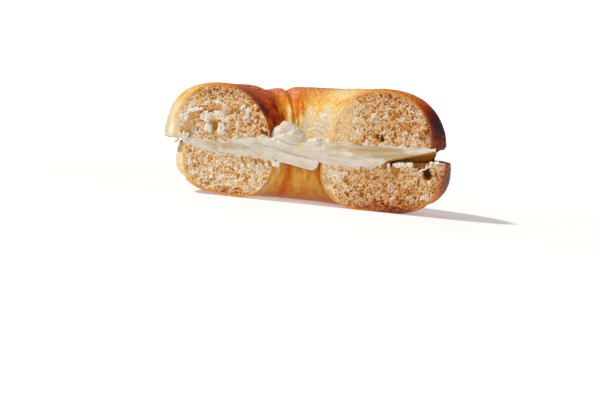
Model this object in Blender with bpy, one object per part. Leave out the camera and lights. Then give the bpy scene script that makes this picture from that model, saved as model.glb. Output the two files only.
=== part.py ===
"""Half a bagel filled with cream cheese, standing on its flat base with the cut side to the front.

The ring of bread is slit level into a domed top and a flat-based bottom, and a thick layer of cream
cheese lies between them and bridges the hole. One upright cut across the ring shows all three.

Shapes are worked out in millimetres: X runs to the right along the cut, Y away from it into the
bread, Z up from the base. The finished pieces are in metres, with the origin under the middle.
"""

import math

import bmesh
import bpy
import numpy as np
from mathutils import Matrix, Vector, noise

MM = 0.001
GAP = 0.3  # air between pieces that touch

# Circles seen from above, as centre x, centre y, radius. The cut is the line y = 0.
TOP_RIM = (-1.6, 10.0, 57.0)
TOP_CROWN = (-3.1, 8.0, 32.6)
TOP_HOLE = (-3.5, 4.0, 12.65)
BASE_RIM = (2.9, 9.5, 55.2)
BASE_MIDDLE = (-1.6, 8.0, 32.2)
BASE_HOLE = (-3.9, 3.0, 9.68)
FILLING_RIM = (0.3, 9.5, 51.3)
FILLING_CENTRE_X = -4.0

# The domed top.
CROWN_HEIGHT = 47.3
CROWN_TILT = 2.4  # the right end stands this much higher, the left end as much lower
CROWN_SAG = 0.8  # and the middle lower
OUTER_CURVE = (2.1, 2.45)  # squareness of the dome's outer side, at the right and the left end
HOLE_CURVE = (2.35, 1.68)  # and of its side in the hole
CUT_PINCH_RIGHT = 4.7  # how far the knife rolled the crust inwards at the cut
CUT_PINCH_LEFT = 4.0
CUT_PINCH_TOP = 1.2
PINCH_DEPTH = 8.0
SHARP_FOLD = (103.0, 3.2, 1.7)  # degrees round the hole, width in degrees, depth
BROAD_FOLD = (116.5, 8.5, 1.9)
FOLD_START = (0.5, 1.2)  # turns round the dome, in radians, over which a fold deepens
FOLD_END = (2.7, 3.1)  # and over which it fades in the hole
FLAT_AT_CUT = 3.0  # folds and lumps fade over this depth, so that the cut face keeps its outline
LUMP_SIZE = 13.0
LUMP_DEPTH = 0.55
HEART = 0.35  # share of the height at which folds and lumps point inwards

# The flat-based bottom.
WALL_CURVE = (2.4, 2.75)  # squareness of the outer wall, at the right and the left end
WELL_CURVE = 2.6  # squareness of the wall in the hole
BASE_FLATTEN = 1.035
BASE_PINCH = 1.6
WALL_BULGE = 1.1
LIP_HEIGHT = 4.6
LIP_WIDTH = 0.9
LIP_DEPTH = 0.9
WELL_FOLDS = ((113.0, 8.0, 0.9), (52.0, 5.0, 0.5))
WELL_FOLD_START = (1.0, 6.0)  # heights over which a fold in the hole deepens
WALL_RELIEF = (0.3, 0.7)  # shares of the way out over which relief on the walls starts
LEFT_LIFT = 1.4  # the left end curls up off the table by this much
LEFT_LIFT_X = (-42.0, -24.0)
LEFT_LIFT_Y = (6.0, 26.0)
LEFT_LIFT_TOP = 16.0

# The slit. Its heights along the cut are a start and rises, each as first x, last x, rise.
SOLE_START = 21.2
SOLE_RISES = ((-35.0, -15.0, 3.8), (-15.0, 44.0, 1.2), (42.0, 54.0, 1.0))
SOLE_BACK = 22.8
BED_START = 20.1
BED_RISES = ((-50.0, -35.0, -2.7), (18.0, 42.0, 3.6), (42.0, 55.0, 1.3))
BED_BACK = 19.2
SLIT_BACK = (22.0, 60.0)  # depths over which it changes to its height at the back
# On the right, a little behind the cut, the top bread hangs down until it almost meets the bottom.
HANG_SIDES = ((28.0, 37.0), (48.5, 53.5))
HANG_DEPTHS = ((2.8, 7.0), (12.0, 20.0))
HANG_AIR = 0.6

# The filling.
# Heaps of cream cheese in the hole: middle x, middle y, half width, half depth, height, bluntness.
DOLLOP = (-9.4, 1.0, 6.4, 7.6, 7.6, 0.4)
PEAK = (3.6, 3.2, 4.6, 4.4, 2.4, 0.75)
CLEFT = (-1.6, 0.5, 4.2, 3.6, -2.9, 0.75)
WALL_STEP = (1.3, 0.45)  # in a hole, the filling steps up or down between these distances from the wall
UNDER_TOP = 1.0  # how far under the top bread a column of points lies
SAG = (1.7, 3.5)  # how far it hangs into the bottom bread's hole, at the left and right
SAG_SIDES = (-11.0, 5.0)
FLANGE_ANGLE = 2.1  # degrees: the cheese that the knife drew along the cut on the right
VOID_ANGLE = 2.7  # behind it, up to the next angles, there is only air under the hanging bread
VOID_END = (31.0, 39.0)
VOID_REACH = 30.6  # how far right the filling reaches in front of that air
WEDGE_START = 25.3  # the cheese along the cut tapers upwards from here to the right
WEDGE_HEIGHT = 18.9
WEDGE_SLOPE = 0.3
WEDGE_DEPTHS = (8.0, 18.0)
WEDGE_EDGE = 0.5
DRAWN_SIDE = (26.0, 34.0)
DRAWN_DEPTHS = ((1.0, 1.4), (3.0, 6.0))
DRAWN_CLEAR = 0.35  # the back edge of that cheese lies this much lower, clear of the bread
THINNEST = 0.35

# Cells across and up a section, and rows round the ring.
TOP_CELLS = (18, 8, 44)
BASE_CELLS = (16, 7, 35)
FILLING_COLUMNS = (0, 8, 9, 10, 11, 12, 13, 23)  # at the middle, both holes' steps and the rim
FILLING_CELLS = (FILLING_COLUMNS[-1], 2, 34)
# The top's rows as shares of all rows and of the way round, close at the right and round the folds.
TOP_ROWS = ((0.0, 1.0 / TOP_CELLS[2], 0.45, 0.78, 1.0), (0.0, 0.0138, 0.5, 0.72, 1.0))
SECTION_CORNER = 0.27 * math.pi  # turn at which a section's side passes into its far side
RING_START = 3.0

# Bubbles that open in the cut: middle x, middle z, half width, half height, depth.
TOP_BUBBLES = {
    "tunnel": (-46.0, 28.4, 2.0, 5.4, 4.2),
    "tunnel roof": (-41.2, 34.0, 5.6, 1.3, 4.6),
    "shallow pocket": (-30.3, 35.0, 2.3, 1.7, 2.2),
    "deep pocket": (-39.1, 27.6, 1.4, 1.9, 2.6),
    "hole by the filling": (-18.5, 27.0, 1.3, 0.8, 2.4),
    "twin hole": (28.0, 29.9, 1.8, 1.1, 3.2),
    "narrow hole": (21.9, 29.6, 0.8, 1.1, 2.2),
    "upper hole": (33.7, 39.2, 1.1, 0.8, 1.8),
    "wide hole": (38.1, 34.7, 1.5, 1.0, 2.2),
    "rim hole": (44.6, 31.2, 1.2, 0.8, 1.8),
}
BASE_BUBBLES = {
    "rim hole": (48.2, 16.6, 1.5, 1.9, 4.0),
    "rim hollow": (44.6, 20.9, 2.2, 1.6, 4.4),
    "square hole": (35.3, 16.4, 1.4, 1.3, 2.6),
    "slot": (31.2, 18.0, 0.8, 1.3, 2.2),
    "leaf": (24.3, 14.9, 1.0, 1.5, 2.2),
    "slant": (13.6, 8.4, 0.9, 1.6, 2.0),
    "left hole": (-20.6, 14.8, 1.1, 1.2, 2.2),
    "well hole": (-17.3, 13.6, 0.9, 1.0, 1.8),
}
SMALL_BUBBLES = (11, 9)  # how many more in each end of the top and of the bottom
SMALL_BUBBLE = (0.8, 1.25)  # their half widths, smallest and largest
SMALL_BUBBLE_FLATNESS = (0.6, 0.9)
BUBBLE_CLEAR = 1.9  # from the crust
BUBBLES_APART = 0.5
BUBBLE_TURN = 0.35
OUTLINE_SAMPLES = 24
SEED = 11

CRUST = ((0.46, 0.17, 0.045), 0.42)
CRUMB = ((0.62, 0.42, 0.22), 0.85)
CREAM = ((0.86, 0.79, 0.66), 0.45)


def smooth(value, low, high):
    """0 below low, 1 above high, and an S between them."""
    share = np.clip((value - low) / (high - low), 0.0, 1.0)
    return share * share * (3.0 - 2.0 * share)


def between(value, start, end):
    """1 between two ranges, 0 outside them, and an S over each."""
    return smooth(value, *start) * (1.0 - smooth(value, *end))


def mix(first, second, share):
    return first + (second - first) * share


def power(value, exponent):
    return np.abs(value) ** exponent


def arc(circle, t):
    """The point at t of the circle's arc behind the cut: 0 at its right end and 1 at its left."""
    x, y, radius = circle
    dip = math.asin(y / radius)
    angle = t * (math.pi + 2.0 * dip) - dip
    return x + radius * np.cos(angle), np.maximum(y + radius * np.sin(angle), 0.0)


def pinched_arc(circle, t, right, left):
    """An arc whose ends the knife rolled inwards."""
    x, y = arc(circle, t)
    rolled = 1.0 - smooth(y, 0.0, PINCH_DEPTH)
    return x - rolled * np.where(t < 0.5, right, -left), y


def reach(circle, angle):
    """How far the circle lies from the filling's centre on the cut, at an angle round it."""
    x, y, radius = circle
    x = x - FILLING_CENTRE_X
    along = x * np.cos(angle) + y * np.sin(angle)
    return along + np.sqrt(along * along + radius * radius - x * x - y * y)


def heap(shape, x, y):
    """Height of a rounded heap on an ellipse, nothing outside it."""
    middle_x, middle_y, half_x, half_y, height, bluntness = shape
    far = ((x - middle_x) / half_x) ** 2 + ((y - middle_y) / half_y) ** 2
    return height * np.clip(1.0 - far, 0.0, 1.0) ** bluntness


def fold(shape, x, y, centre):
    """Depth of a crease that runs out from the hole."""
    middle, width, depth = shape
    angle = np.degrees(np.arctan2(y - centre[1], x - centre[0]))
    return depth * np.exp(-(((angle - middle) / width) ** 2))


def lumps(x, y, z):
    """Slow swellings of hand-shaped dough."""
    at = zip(np.ravel(x), np.ravel(y), np.ravel(z))
    swell = np.array([noise.noise(Vector(place) / LUMP_SIZE) for place in at])
    return LUMP_DEPTH * swell.reshape(np.shape(x))


def slit_height(x, y, start, rises, back):
    front = start + sum(rise * smooth(x, low, high) for low, high, rise in rises)
    return mix(front, back, smooth(y, *SLIT_BACK))


def bed_height(x, y):
    """Height of the slit face on the bottom bread."""
    return slit_height(x, y, BED_START, BED_RISES, BED_BACK)


def sole_height(x, y):
    """Height of the slit face under the domed top."""
    hang = between(x, *HANG_SIDES) * between(y, *HANG_DEPTHS)
    return mix(slit_height(x, y, SOLE_START, SOLE_RISES, SOLE_BACK), bed_height(x, y) + HANG_AIR, hang)


def dome(t, turn):
    """The top bread's crust. turn is 0 at the outer seam, 90 degrees on the crown, 180 in the hole."""
    rim_x, rim_y = pinched_arc(TOP_RIM, t, CUT_PINCH_RIGHT, CUT_PINCH_LEFT)
    crown_x, crown_y = arc(TOP_CROWN, t)
    hole_x, hole_y = arc(TOP_HOLE, t)
    height = CROWN_HEIGHT + CROWN_TILT * np.cos(math.pi * t) - CROWN_SAG * np.sin(math.pi * t)
    height = height - CUT_PINCH_TOP * (1.0 - smooth(crown_y, 0.0, PINCH_DEPTH)) * (t < 0.5)
    outside = turn < math.pi / 2
    side_x = np.where(outside, rim_x, hole_x)
    side_y = np.where(outside, rim_y, hole_y)
    curve = np.where(outside, mix(*OUTER_CURVE, t), mix(*HOLE_CURVE, t))
    out = power(np.cos(turn), 2.0 / curve)
    up = power(np.sin(turn), 2.0 / curve)
    seam = sole_height(side_x, side_y)
    x = mix(crown_x, side_x, out)
    y = mix(crown_y, side_y, out)
    z = mix(seam, height, up)
    depth = sum(fold(shape, x, y, TOP_HOLE) for shape in (SHARP_FOLD, BROAD_FOLD))
    depth = depth * between(turn, FOLD_START, FOLD_END)
    depth = depth + lumps(x, y, z) * smooth(np.sin(turn), 0.0, 0.5)
    depth = depth * smooth(y, 0.0, FLAT_AT_CUT)
    heart = mix(seam, height, HEART)
    size = np.sqrt((x - crown_x) ** 2 + (y - crown_y) ** 2 + (z - heart) ** 2)
    shrink = 1.0 - depth / np.maximum(size, 1.0)
    return (
        crown_x + (x - crown_x) * shrink,
        crown_y + (y - crown_y) * shrink,
        heart + (z - heart) * shrink,
    )


def bowl(t, turn):
    """The bottom bread's crust. turn is 0 at the outer seam, 90 degrees under it, 180 in the hole."""
    rim_x, rim_y = pinched_arc(BASE_RIM, t, BASE_PINCH, BASE_PINCH)
    foot_x, foot_y = arc(BASE_MIDDLE, t)
    hole_x, hole_y = arc(BASE_HOLE, t)
    outside = turn < math.pi / 2
    side_x = np.where(outside, rim_x, hole_x)
    side_y = np.where(outside, rim_y, hole_y)
    curve = np.where(outside, mix(*WALL_CURVE, t), WELL_CURVE)
    out = power(np.cos(turn), 2.0 / curve)
    down = power(np.sin(turn), 2.0 / curve)
    seam = bed_height(side_x, side_y)
    z = seam * np.maximum(1.0 - BASE_FLATTEN * down, 0.0)
    bulge = WALL_BULGE * np.sin(np.clip(z / seam, 0.0, 1.0) * math.pi) ** 2
    lip = LIP_DEPTH * np.exp(-(((z - LIP_HEIGHT) / LIP_WIDTH) ** 2))
    grooves = sum(fold(shape, side_x, side_y, BASE_HOLE) for shape in WELL_FOLDS)
    depth = np.where(outside, lip - bulge, grooves * smooth(z, *WELL_FOLD_START))
    depth = depth * smooth(out, *WALL_RELIEF)
    far = np.maximum(np.hypot(side_x - foot_x, side_y - foot_y), 1.0)
    x = mix(foot_x, side_x, out) - (side_x - foot_x) / far * depth
    y = mix(foot_y, side_y, out) - (side_y - foot_y) / far * depth
    y = np.where(t * (1.0 - t) > 0.0, y, 0.0)
    curl = LEFT_LIFT * (1.0 - smooth(x, *LEFT_LIFT_X)) * (1.0 - smooth(y, *LEFT_LIFT_Y))
    return x, y, z + curl * (1.0 - smooth(z, 0.0, LEFT_LIFT_TOP))


def section(t, across, up, face, crust):
    """A point of a bread from its place in the section: one side is the slit face, three are crust."""
    near = SECTION_CORNER
    far = math.pi - SECTION_CORNER
    sides = (
        (1.0 - up, face(t, across)),
        (up, crust(t, mix(far, near, across))),
        (1.0 - across, crust(t, mix(math.pi, far, up))),
        (across, crust(t, mix(0.0 * up, near, up))),
    )
    zero = np.zeros_like(t)
    corners = (
        ((1.0 - across) * (1.0 - up), face(t, zero)),
        (across * (1.0 - up), face(t, zero + 1.0)),
        ((1.0 - across) * up, crust(t, zero + far)),
        (across * up, crust(t, zero + near)),
    )
    return [
        sum(weight * point[axis] for weight, point in sides)
        - sum(weight * point[axis] for weight, point in corners)
        for axis in range(3)
    ]


def slit_face(t, share, hole, rim, height):
    """A point of a slit face, from the hole at share 0 to the rim at share 1."""
    x = mix(hole[0], rim[0], share)
    y = mix(hole[1], rim[1], share)
    return x, y, height(x, y)


def top_point(t, across, up):
    def face(t, share):
        rim = pinched_arc(TOP_RIM, t, CUT_PINCH_RIGHT, CUT_PINCH_LEFT)
        return slit_face(t, share, arc(TOP_HOLE, t), rim, sole_height)

    return section(np.interp(t, *TOP_ROWS), across, up, face, dome)


def base_point(t, across, up):
    def face(t, share):
        rim = pinched_arc(BASE_RIM, t, BASE_PINCH, BASE_PINCH)
        return slit_face(t, share, arc(BASE_HOLE, t), rim, bed_height)

    return section(t, across, 1.0 - up, face, bowl)


def filling_angle(t):
    """The angle round the filling, with its first two rows at the drawn cheese and behind it."""
    row = 1.0 / FILLING_CELLS[2]
    stops = (0.0, row, 2.0 * row, 1.0)
    return np.radians(np.interp(t, stops, (0.0, FLANGE_ANGLE, VOID_ANGLE, 180.0)))


def filling_far(out, well, hole, rim):
    """How far out a column of points lies: columns stand at each step of the filling."""
    start, end = WALL_STEP
    places = (0.0 * rim, well - start, well - end, (well + hole) / 2, hole - start, hole - end)
    places = places + (hole + UNDER_TOP, rim)
    far = 0.0 * out
    for count in range(len(FILLING_COLUMNS) - 1):
        low, high = (column / FILLING_COLUMNS[-1] for column in FILLING_COLUMNS[count : count + 2])
        stretch = places[count + 1] - places[count]
        far = far + stretch * np.clip((out - low) / (high - low), 0.0, 1.0)
    return far


def filling_point(t, out, up):
    """A point of the filling: out from the middle of the cut, round it by t, and up through it."""
    angle = filling_angle(t)
    degrees = np.degrees(angle)
    rim = reach(FILLING_RIM, angle)
    short = np.minimum(rim, VOID_REACH / np.maximum(np.cos(angle), 0.2))
    rim = mix(rim, short, between(degrees, (FLANGE_ANGLE, VOID_ANGLE), VOID_END))
    well = reach(BASE_HOLE, angle)
    hole = reach(TOP_HOLE, angle)
    far = filling_far(out, well, hole, rim)
    x = FILLING_CENTRE_X + far * np.cos(angle)
    y = far * np.sin(angle)
    open_top = 1.0 - smooth(far, hole - WALL_STEP[0], hole - WALL_STEP[1])
    open_bottom = 1.0 - smooth(far, well - WALL_STEP[0], well - WALL_STEP[1])
    rise = sum(heap(shape, x, y) for shape in (DOLLOP, PEAK, CLEFT))
    drawn = smooth(x, *DRAWN_SIDE) * between(y, *DRAWN_DEPTHS)
    high = sole_height(x, y) - GAP + rise * open_top - DRAWN_CLEAR * drawn
    low = bed_height(x, y) + GAP - mix(*SAG, smooth(x, *SAG_SIDES)) * open_bottom
    taper = WEDGE_SLOPE * np.maximum(x - WEDGE_START, 0.0) * (1.0 - smooth(y, *WEDGE_DEPTHS))
    wedge = np.minimum(WEDGE_HEIGHT + taper, high - WEDGE_EDGE) * (x > WEDGE_START)
    low = np.minimum(np.maximum(low, wedge), high - THINNEST)
    return x, y, mix(low, high, up)


def swept_solid(cells, start, point):
    """A square of cells swept half round an upright axis, with every point then put in its place."""
    across, up, rows = cells
    mesh = bmesh.new()
    bmesh.ops.create_grid(mesh, x_segments=across, y_segments=up, size=0.5)
    stand = Matrix.Rotation(math.pi / 2, 4, "X")
    move = Matrix.Translation((start + 0.5, 0.0, 0.5))
    bmesh.ops.transform(mesh, matrix=move @ stand, verts=mesh.verts)
    everything = mesh.verts[:] + mesh.edges[:] + mesh.faces[:]
    bmesh.ops.spin(mesh, geom=everything, axis=(0, 0, 1), angle=math.pi, steps=rows)
    at = np.array([vert.co for vert in mesh.verts], float)
    t = np.abs(np.arctan2(at[:, 1], at[:, 0])) / math.pi
    out = np.hypot(at[:, 0], at[:, 1]) - start
    x, y, z = point(t, np.clip(out, 0.0, 1.0), np.clip(at[:, 2], 0.0, 1.0))
    for vert, place in zip(mesh.verts, zip(x, y, z)):
        vert.co = Vector(place) * MM
    bmesh.ops.remove_doubles(mesh, verts=mesh.verts, dist=1e-6)
    bmesh.ops.dissolve_degenerate(mesh, edges=mesh.edges, dist=1e-6)
    bmesh.ops.recalc_face_normals(mesh, faces=mesh.faces)
    return mesh


def add_object(name, mesh, material):
    data = bpy.data.meshes.new(name)
    mesh.to_mesh(data)
    mesh.free()
    obj = bpy.data.objects.new(name, data)
    bpy.context.scene.collection.objects.link(obj)
    if material:
        data.materials.append(material)
    data.shade_smooth()
    data.set_sharp_from_angle(angle=math.radians(40))
    return obj


def plain_material(name, look):
    colour, roughness = look
    material = bpy.data.materials.new(name)
    material.use_nodes = True
    shader = material.node_tree.nodes["Principled BSDF"]
    shader.inputs["Base Color"].default_value = (*colour, 1.0)
    shader.inputs["Roughness"].default_value = roughness
    shader.inputs["Metallic"].default_value = 0.0
    return material


def end_outline(point, end):
    """Points all round the section at one end of the ring."""
    steps = np.linspace(0.0, 1.0, OUTLINE_SAMPLES)
    low, high = np.zeros(OUTLINE_SAMPLES), np.ones(OUTLINE_SAMPLES)
    across = np.concatenate([steps, steps, low, high])
    up = np.concatenate([low, high, steps, steps])
    x, _, z = point(np.full(len(across), end), across, up)
    return x, z


def small_bubbles(count, point, taken, rng):
    """Round bubbles spread over both cut ends, clear of the crust and of each other."""
    found = []
    for end in (0.0, 1.0):
        rim_x, rim_z = end_outline(point, end)
        placed = 0
        while placed < count:
            x, _, z = point(np.array([end]), rng.uniform(0.0, 1.0, 1), rng.uniform(0.0, 1.0, 1))
            half = rng.uniform(*SMALL_BUBBLE)
            flat = half * rng.uniform(*SMALL_BUBBLE_FLATNESS)
            bubble = (float(x[0]), float(z[0]), half, flat, half)
            clear = np.hypot(rim_x - bubble[0], rim_z - bubble[1]).min()
            apart = min(
                math.hypot(bubble[0] - other[0], bubble[1] - other[1]) - max(other[2:4]) - half
                for other in taken + found
            )
            if apart > BUBBLES_APART and clear > BUBBLE_CLEAR:
                found.append(bubble)
                placed += 1
    return found


def cut_bubbles(bread, bubbles):
    """Cuts every bubble out of the bread's upright face."""
    mesh = bmesh.new()
    for x, z, half_x, half_z, depth in bubbles:
        size = Matrix.Diagonal((half_x * MM, depth * MM, half_z * MM, 1.0))
        place = Matrix.Translation((x * MM, 0.0, z * MM))
        turn = Matrix.Rotation(BUBBLE_TURN * math.sin(x), 4, "Y")
        bmesh.ops.create_icosphere(mesh, subdivisions=1, radius=1.0, matrix=place @ turn @ size)
    cutter = add_object(bread.name + "_bubbles", mesh, None)
    cutter.hide_render = True
    cutter.display_type = "WIRE"
    cut = bread.modifiers.new("bubbles", "BOOLEAN")
    cut.object = cutter
    cut.operation = "DIFFERENCE"
    cut.solver = "EXACT"
    cut.use_self = True


def centre_over_origin(objects, solids):
    """Moves everything so that the origin lies on the floor under the middle of the solids."""
    corners = np.array([vert.co for obj in solids for vert in obj.data.vertices])
    middle = (corners.min(axis=0) + corners.max(axis=0)) / 2
    move = Matrix.Translation((-middle[0], -middle[1], -corners[:, 2].min()))
    for obj in objects:
        obj.data.transform(move)


def build():
    for obj in list(bpy.data.objects):
        bpy.data.objects.remove(obj, do_unlink=True)
    crust = plain_material("baked_crust", CRUST)
    crumb = plain_material("bread_crumb", CRUMB)
    cream = plain_material("cream_cheese", CREAM)
    top = add_object("top_bread", swept_solid(TOP_CELLS, RING_START, top_point), crust)
    base = add_object("bottom_bread", swept_solid(BASE_CELLS, RING_START, base_point), crumb)
    filling = add_object("cream_cheese", swept_solid(FILLING_CELLS, 0.0, filling_point), cream)
    rng = np.random.default_rng(SEED)
    for bread, point, named, count in (
        (top, top_point, TOP_BUBBLES, SMALL_BUBBLES[0]),
        (base, base_point, BASE_BUBBLES, SMALL_BUBBLES[1]),
    ):
        taken = list(named.values())
        cut_bubbles(bread, taken + small_bubbles(count, point, taken, rng))
    centre_over_origin(bpy.data.objects, (top, base, filling))


build()
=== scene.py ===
"""Half a bagel filled with cream cheese: its crust, crumb and filling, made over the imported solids.

Shapes are worked out in millimetres in the baker's frame: X to the right along the cut, Y away from it
into the bread, Z up from the base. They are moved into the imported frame, in metres, at the end.
"""

import math
from functools import partial
from types import SimpleNamespace

import bmesh
import bpy
import numpy as np
from mathutils import Matrix, Vector, kdtree, noise


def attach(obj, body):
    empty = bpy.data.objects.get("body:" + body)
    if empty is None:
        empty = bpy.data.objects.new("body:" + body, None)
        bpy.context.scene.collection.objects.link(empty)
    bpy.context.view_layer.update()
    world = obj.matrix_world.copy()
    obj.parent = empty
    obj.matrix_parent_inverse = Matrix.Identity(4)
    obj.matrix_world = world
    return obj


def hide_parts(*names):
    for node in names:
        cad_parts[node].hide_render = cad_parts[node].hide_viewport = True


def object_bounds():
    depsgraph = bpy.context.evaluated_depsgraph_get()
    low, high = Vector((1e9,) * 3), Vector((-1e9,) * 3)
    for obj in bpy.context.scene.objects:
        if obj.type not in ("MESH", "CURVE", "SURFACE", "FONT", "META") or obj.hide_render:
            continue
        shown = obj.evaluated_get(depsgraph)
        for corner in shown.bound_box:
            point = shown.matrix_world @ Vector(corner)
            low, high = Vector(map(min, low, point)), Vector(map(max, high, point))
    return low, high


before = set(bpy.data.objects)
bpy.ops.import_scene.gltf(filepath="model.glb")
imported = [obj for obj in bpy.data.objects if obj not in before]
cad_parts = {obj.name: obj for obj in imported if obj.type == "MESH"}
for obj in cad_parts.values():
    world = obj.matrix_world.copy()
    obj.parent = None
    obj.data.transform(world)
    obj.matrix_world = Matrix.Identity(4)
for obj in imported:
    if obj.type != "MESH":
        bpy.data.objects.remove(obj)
CAD_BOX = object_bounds()

MM = 0.001
GAP = 0.3  # air that the solids keep between bread and filling, closed again here

# ---- Sizes of the bagel, as the solids have them ----

# Circles seen from above, as centre x, centre y, radius. The cut is the line y = 0.
TOP_RIM = (-1.6, 10.0, 57.0)
TOP_CROWN = (-3.1, 8.0, 32.6)
TOP_HOLE = (-3.5, 4.0, 12.65)
BASE_RIM = (2.9, 9.5, 55.2)
BASE_MIDDLE = (-1.6, 8.0, 32.2)
BASE_HOLE = (-3.9, 3.0, 9.68)
FILLING_RIM = (0.3, 9.5, 51.3)
FILLING_CENTRE_X = -4.0

# The domed top. Its curves are exponents of the section's rounding, at the right and the left.
CROWN_HEIGHT = 47.3
CROWN_TILT = 2.4
CROWN_SAG = 0.8
OUTER_CURVE = (2.1, 2.45)
HOLE_CURVE = (2.35, 1.68)
TOP_PINCHES = (4.7, 1.6)  # how far the knife rolled the crust inwards at the cut, right and left
CUT_PINCH_TOP = 1.2
PINCH_DEPTH = 8.0
SHARP_FOLD = (103.0, 3.2, 1.7)  # creases: angle round the hole, half width in degrees, depth
BROAD_FOLD = (116.5, 8.5, 1.9)
FOLD_START = (0.5, 1.2)  # turns of the section over which they deepen, and fade again
FOLD_END = (2.7, 3.1)
FLAT_AT_CUT = 3.0  # how deep behind the cut the crust is without creases
LUMP_SIZE = 13.0
LUMP_DEPTH = 0.55
LUMP_FADE = (0.0, 0.5)
HEART = 0.35  # height of the section's middle, as a share of its whole height

# The bottom bread: its outer wall, the well in its middle, and its left end, which curls up.
WALL_CURVE = (2.4, 2.75)
WELL_CURVE = 2.6
BASE_FLATTEN = 1.035
BASE_PINCHES = (1.6, 1.6)
WALL_BULGE = 1.1
LIP_HEIGHT = 4.6
LIP_WIDTH = 0.9
LIP_DEPTH = 0.9
WELL_FOLDS = ((113.0, 8.0, 0.9), (52.0, 5.0, 0.5))
WELL_FOLD_START = (1.0, 6.0)
WALL_RELIEF = (0.3, 0.7)
LEFT_LIFT = 1.4
LEFT_LIFT_X = (-42.0, -24.0)
LEFT_LIFT_Y = (6.0, 26.0)
LEFT_LIFT_TOP = 16.0

# The slit faces of both breads: height at the left, rises as from x, to x and how far, height behind.
SOLE_START = 21.2
SOLE_RISES = ((-35.0, -15.0, 3.8), (-15.0, 44.0, 1.2), (42.0, 54.0, 1.0))
SOLE_BACK = 22.8
BED_START = 20.1
BED_RISES = ((-50.0, -35.0, -2.7), (18.0, 42.0, 3.6), (42.0, 55.0, 1.3))
BED_BACK = 19.2
SLIT_BACK = (22.0, 60.0)
HANG_SIDES = ((28.0, 37.0), (48.5, 53.5))  # where the top hangs down into the gap at the right
HANG_DEPTHS = ((2.8, 7.0), (12.0, 20.0))
HANG_AIR = 0.6

# The filling: heaps as middle x, y, half sizes, height and bluntness, and its step down into the hole.
DOLLOP = (-9.4, 1.0, 5.8, 7.0, 4.4, 1.2)
PEAK = (3.6, 3.2, 5.0, 4.4, 2.0, 1.2)
WALL_STEP = (1.3, 0.45)
UNDER_TOP = 1.0
SAG = (1.7, 3.5)
SAG_SIDES = (-11.0, 3.0)
SAG_ENDS = (2.0, 5.6, 0.5)  # where, and how far, it comes up again at the right
FLANGE_ANGLE = 2.1  # degrees round from the cut up to which it fills the slit to the rim
VOID_ANGLE = 2.7  # and from which it stops short of it, up to the end
VOID_END = (31.0, 39.0)
VOID_REACH = 30.6
LEAST_COSINE = 0.2
WEDGE_START = 25.3  # from here to the right its underside tapers upwards
WEDGE_OPENS = (29.6, 32.6)  # where the gap under it starts to show
WEDGE_HEIGHT = 18.9
WEDGE_SLOPE = 0.3
WEDGE_DEPTHS = (8.0, 18.0)
WEDGE_EDGE = 0.5
THINNEST = 0.35
# How far the filling laps over the bread: at the cut, with waves of two sizes and reaches and the lowest
# of the first, at the least, inside the bread, and how deep behind the cut it is uneven.
LAP = 0.25
LAP_WAVES = ((3.2, 0.9), (0.9, 0.3))
LAP_TROUGH = -0.3
LEAST_LAP = 0.05
LAP_INSIDE = 0.12
LAP_DEPTH = 1.2
# Where the knife dragged it far over the cut: middle, half width, how far, above (1) and below (2).
WIDE_SMEARS = {
    1: ((-42.0, 6.0, 0.5), (-30.0, 3.0, 0.7), (-20.0, 3.0, 0.9), (14.0, 3.0, 0.8), (46.0, 4.0, 0.6)),
    2: ((14.0, 9.0, 0.3), (-44.0, 4.0, 0.8)),
}
SECTION_CORNER = 0.27 * math.pi
RING_START = 3.0

# ---- Fineness of the meshes: cells across and up a section, and rows round the ring ----

TOP_CELLS = (205, 104, 78)
BASE_CELLS = (205, 96, 62)
FILLING_COLUMNS = (0, 46, 56, 62, 70, 80, 90, 230)
FILLING_CELLS = (FILLING_COLUMNS[-1], 36, 64)
# Rows as shares of all rows and of the way round: close at both cuts, and at the folds of the top.
TOP_ROWS = (
    (0.0, 0.06, 0.15, 0.36, 0.68, 0.84, 0.93, 1.0),
    (0.0, 0.008, 0.045, 0.5, 0.68, 0.955, 0.99, 1.0),
)
BASE_ROWS = ((0.0, 0.08, 0.2, 0.8, 0.92, 1.0), (0.0, 0.008, 0.045, 0.955, 0.99, 1.0))
FILLING_ROWS = ((0.0, 0.1, 0.14, 0.9, 1.0), (0.0, FLANGE_ANGLE, VOID_ANGLE, 171.0, 180.0))
MERGED = 1e-5  # points of a grid this close are one, on its own scale of 1
DIGITS = 6  # to which a point's place in the grid is rounded

# ---- Colours, as they look on the real bagel ----

# From unbaked dough to the darkest crust.
BAKE_COLOURS = (
    (0.00, "#CABCA2"),
    (0.14, "#DEC698"),
    (0.28, "#E2B152"),
    (0.44, "#D4841A"),
    (0.60, "#CA5806"),
    (0.75, "#A62E00"),
    (0.88, "#6A1400"),
    (1.00, "#3C1E26"),
)
# The thickness of the crust where the knife went through it, from pale to dark crust.
RIM_COLOURS = (
    (0.00, "#F4E4C0"),
    (0.20, "#E8C080"),
    (0.40, "#E0A04A"),
    (0.60, "#D27C26"),
    (0.80, "#9E4A18"),
    (1.00, "#5A2414"),
)
# From the cut edges of the crumb's walls down into its cells: its own golden tone, darkened with depth as
# painted shade.
CRUMB_SHADE_COLOURS = (
    (0.00, "#E6DCCE"),
    (0.20, "#DEC08C"),
    (0.45, "#D89C42"),
    (0.75, "#C47C14"),
    (1.00, "#984E06"),
)
# Inside the large cavities: golden painted light in shallow ones that light shines through, and dark
# painted shade in deep ones.
CAVITY_LIGHT_AND_SHADE_COLOURS = ((0.20, "#EEB868"), (0.50, "#B8721A"), (1.00, "#481806"))
TOASTED_COLOUR = "#CC7C34"
CHEESE_COLOUR = "#DAD0C2"
# The filling's colour in painted shade, laid along the knife's strokes, in clouds and on thin places.
CHEESE_PAINTED_SHADE = "#BEA47A"
# The yellowish painted shade in the valley beside the dollop.
VALLEY_SHADE_COLOUR = "#DAC480"
FLOOR_COLOUR = "#FAFAFA"


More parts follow.
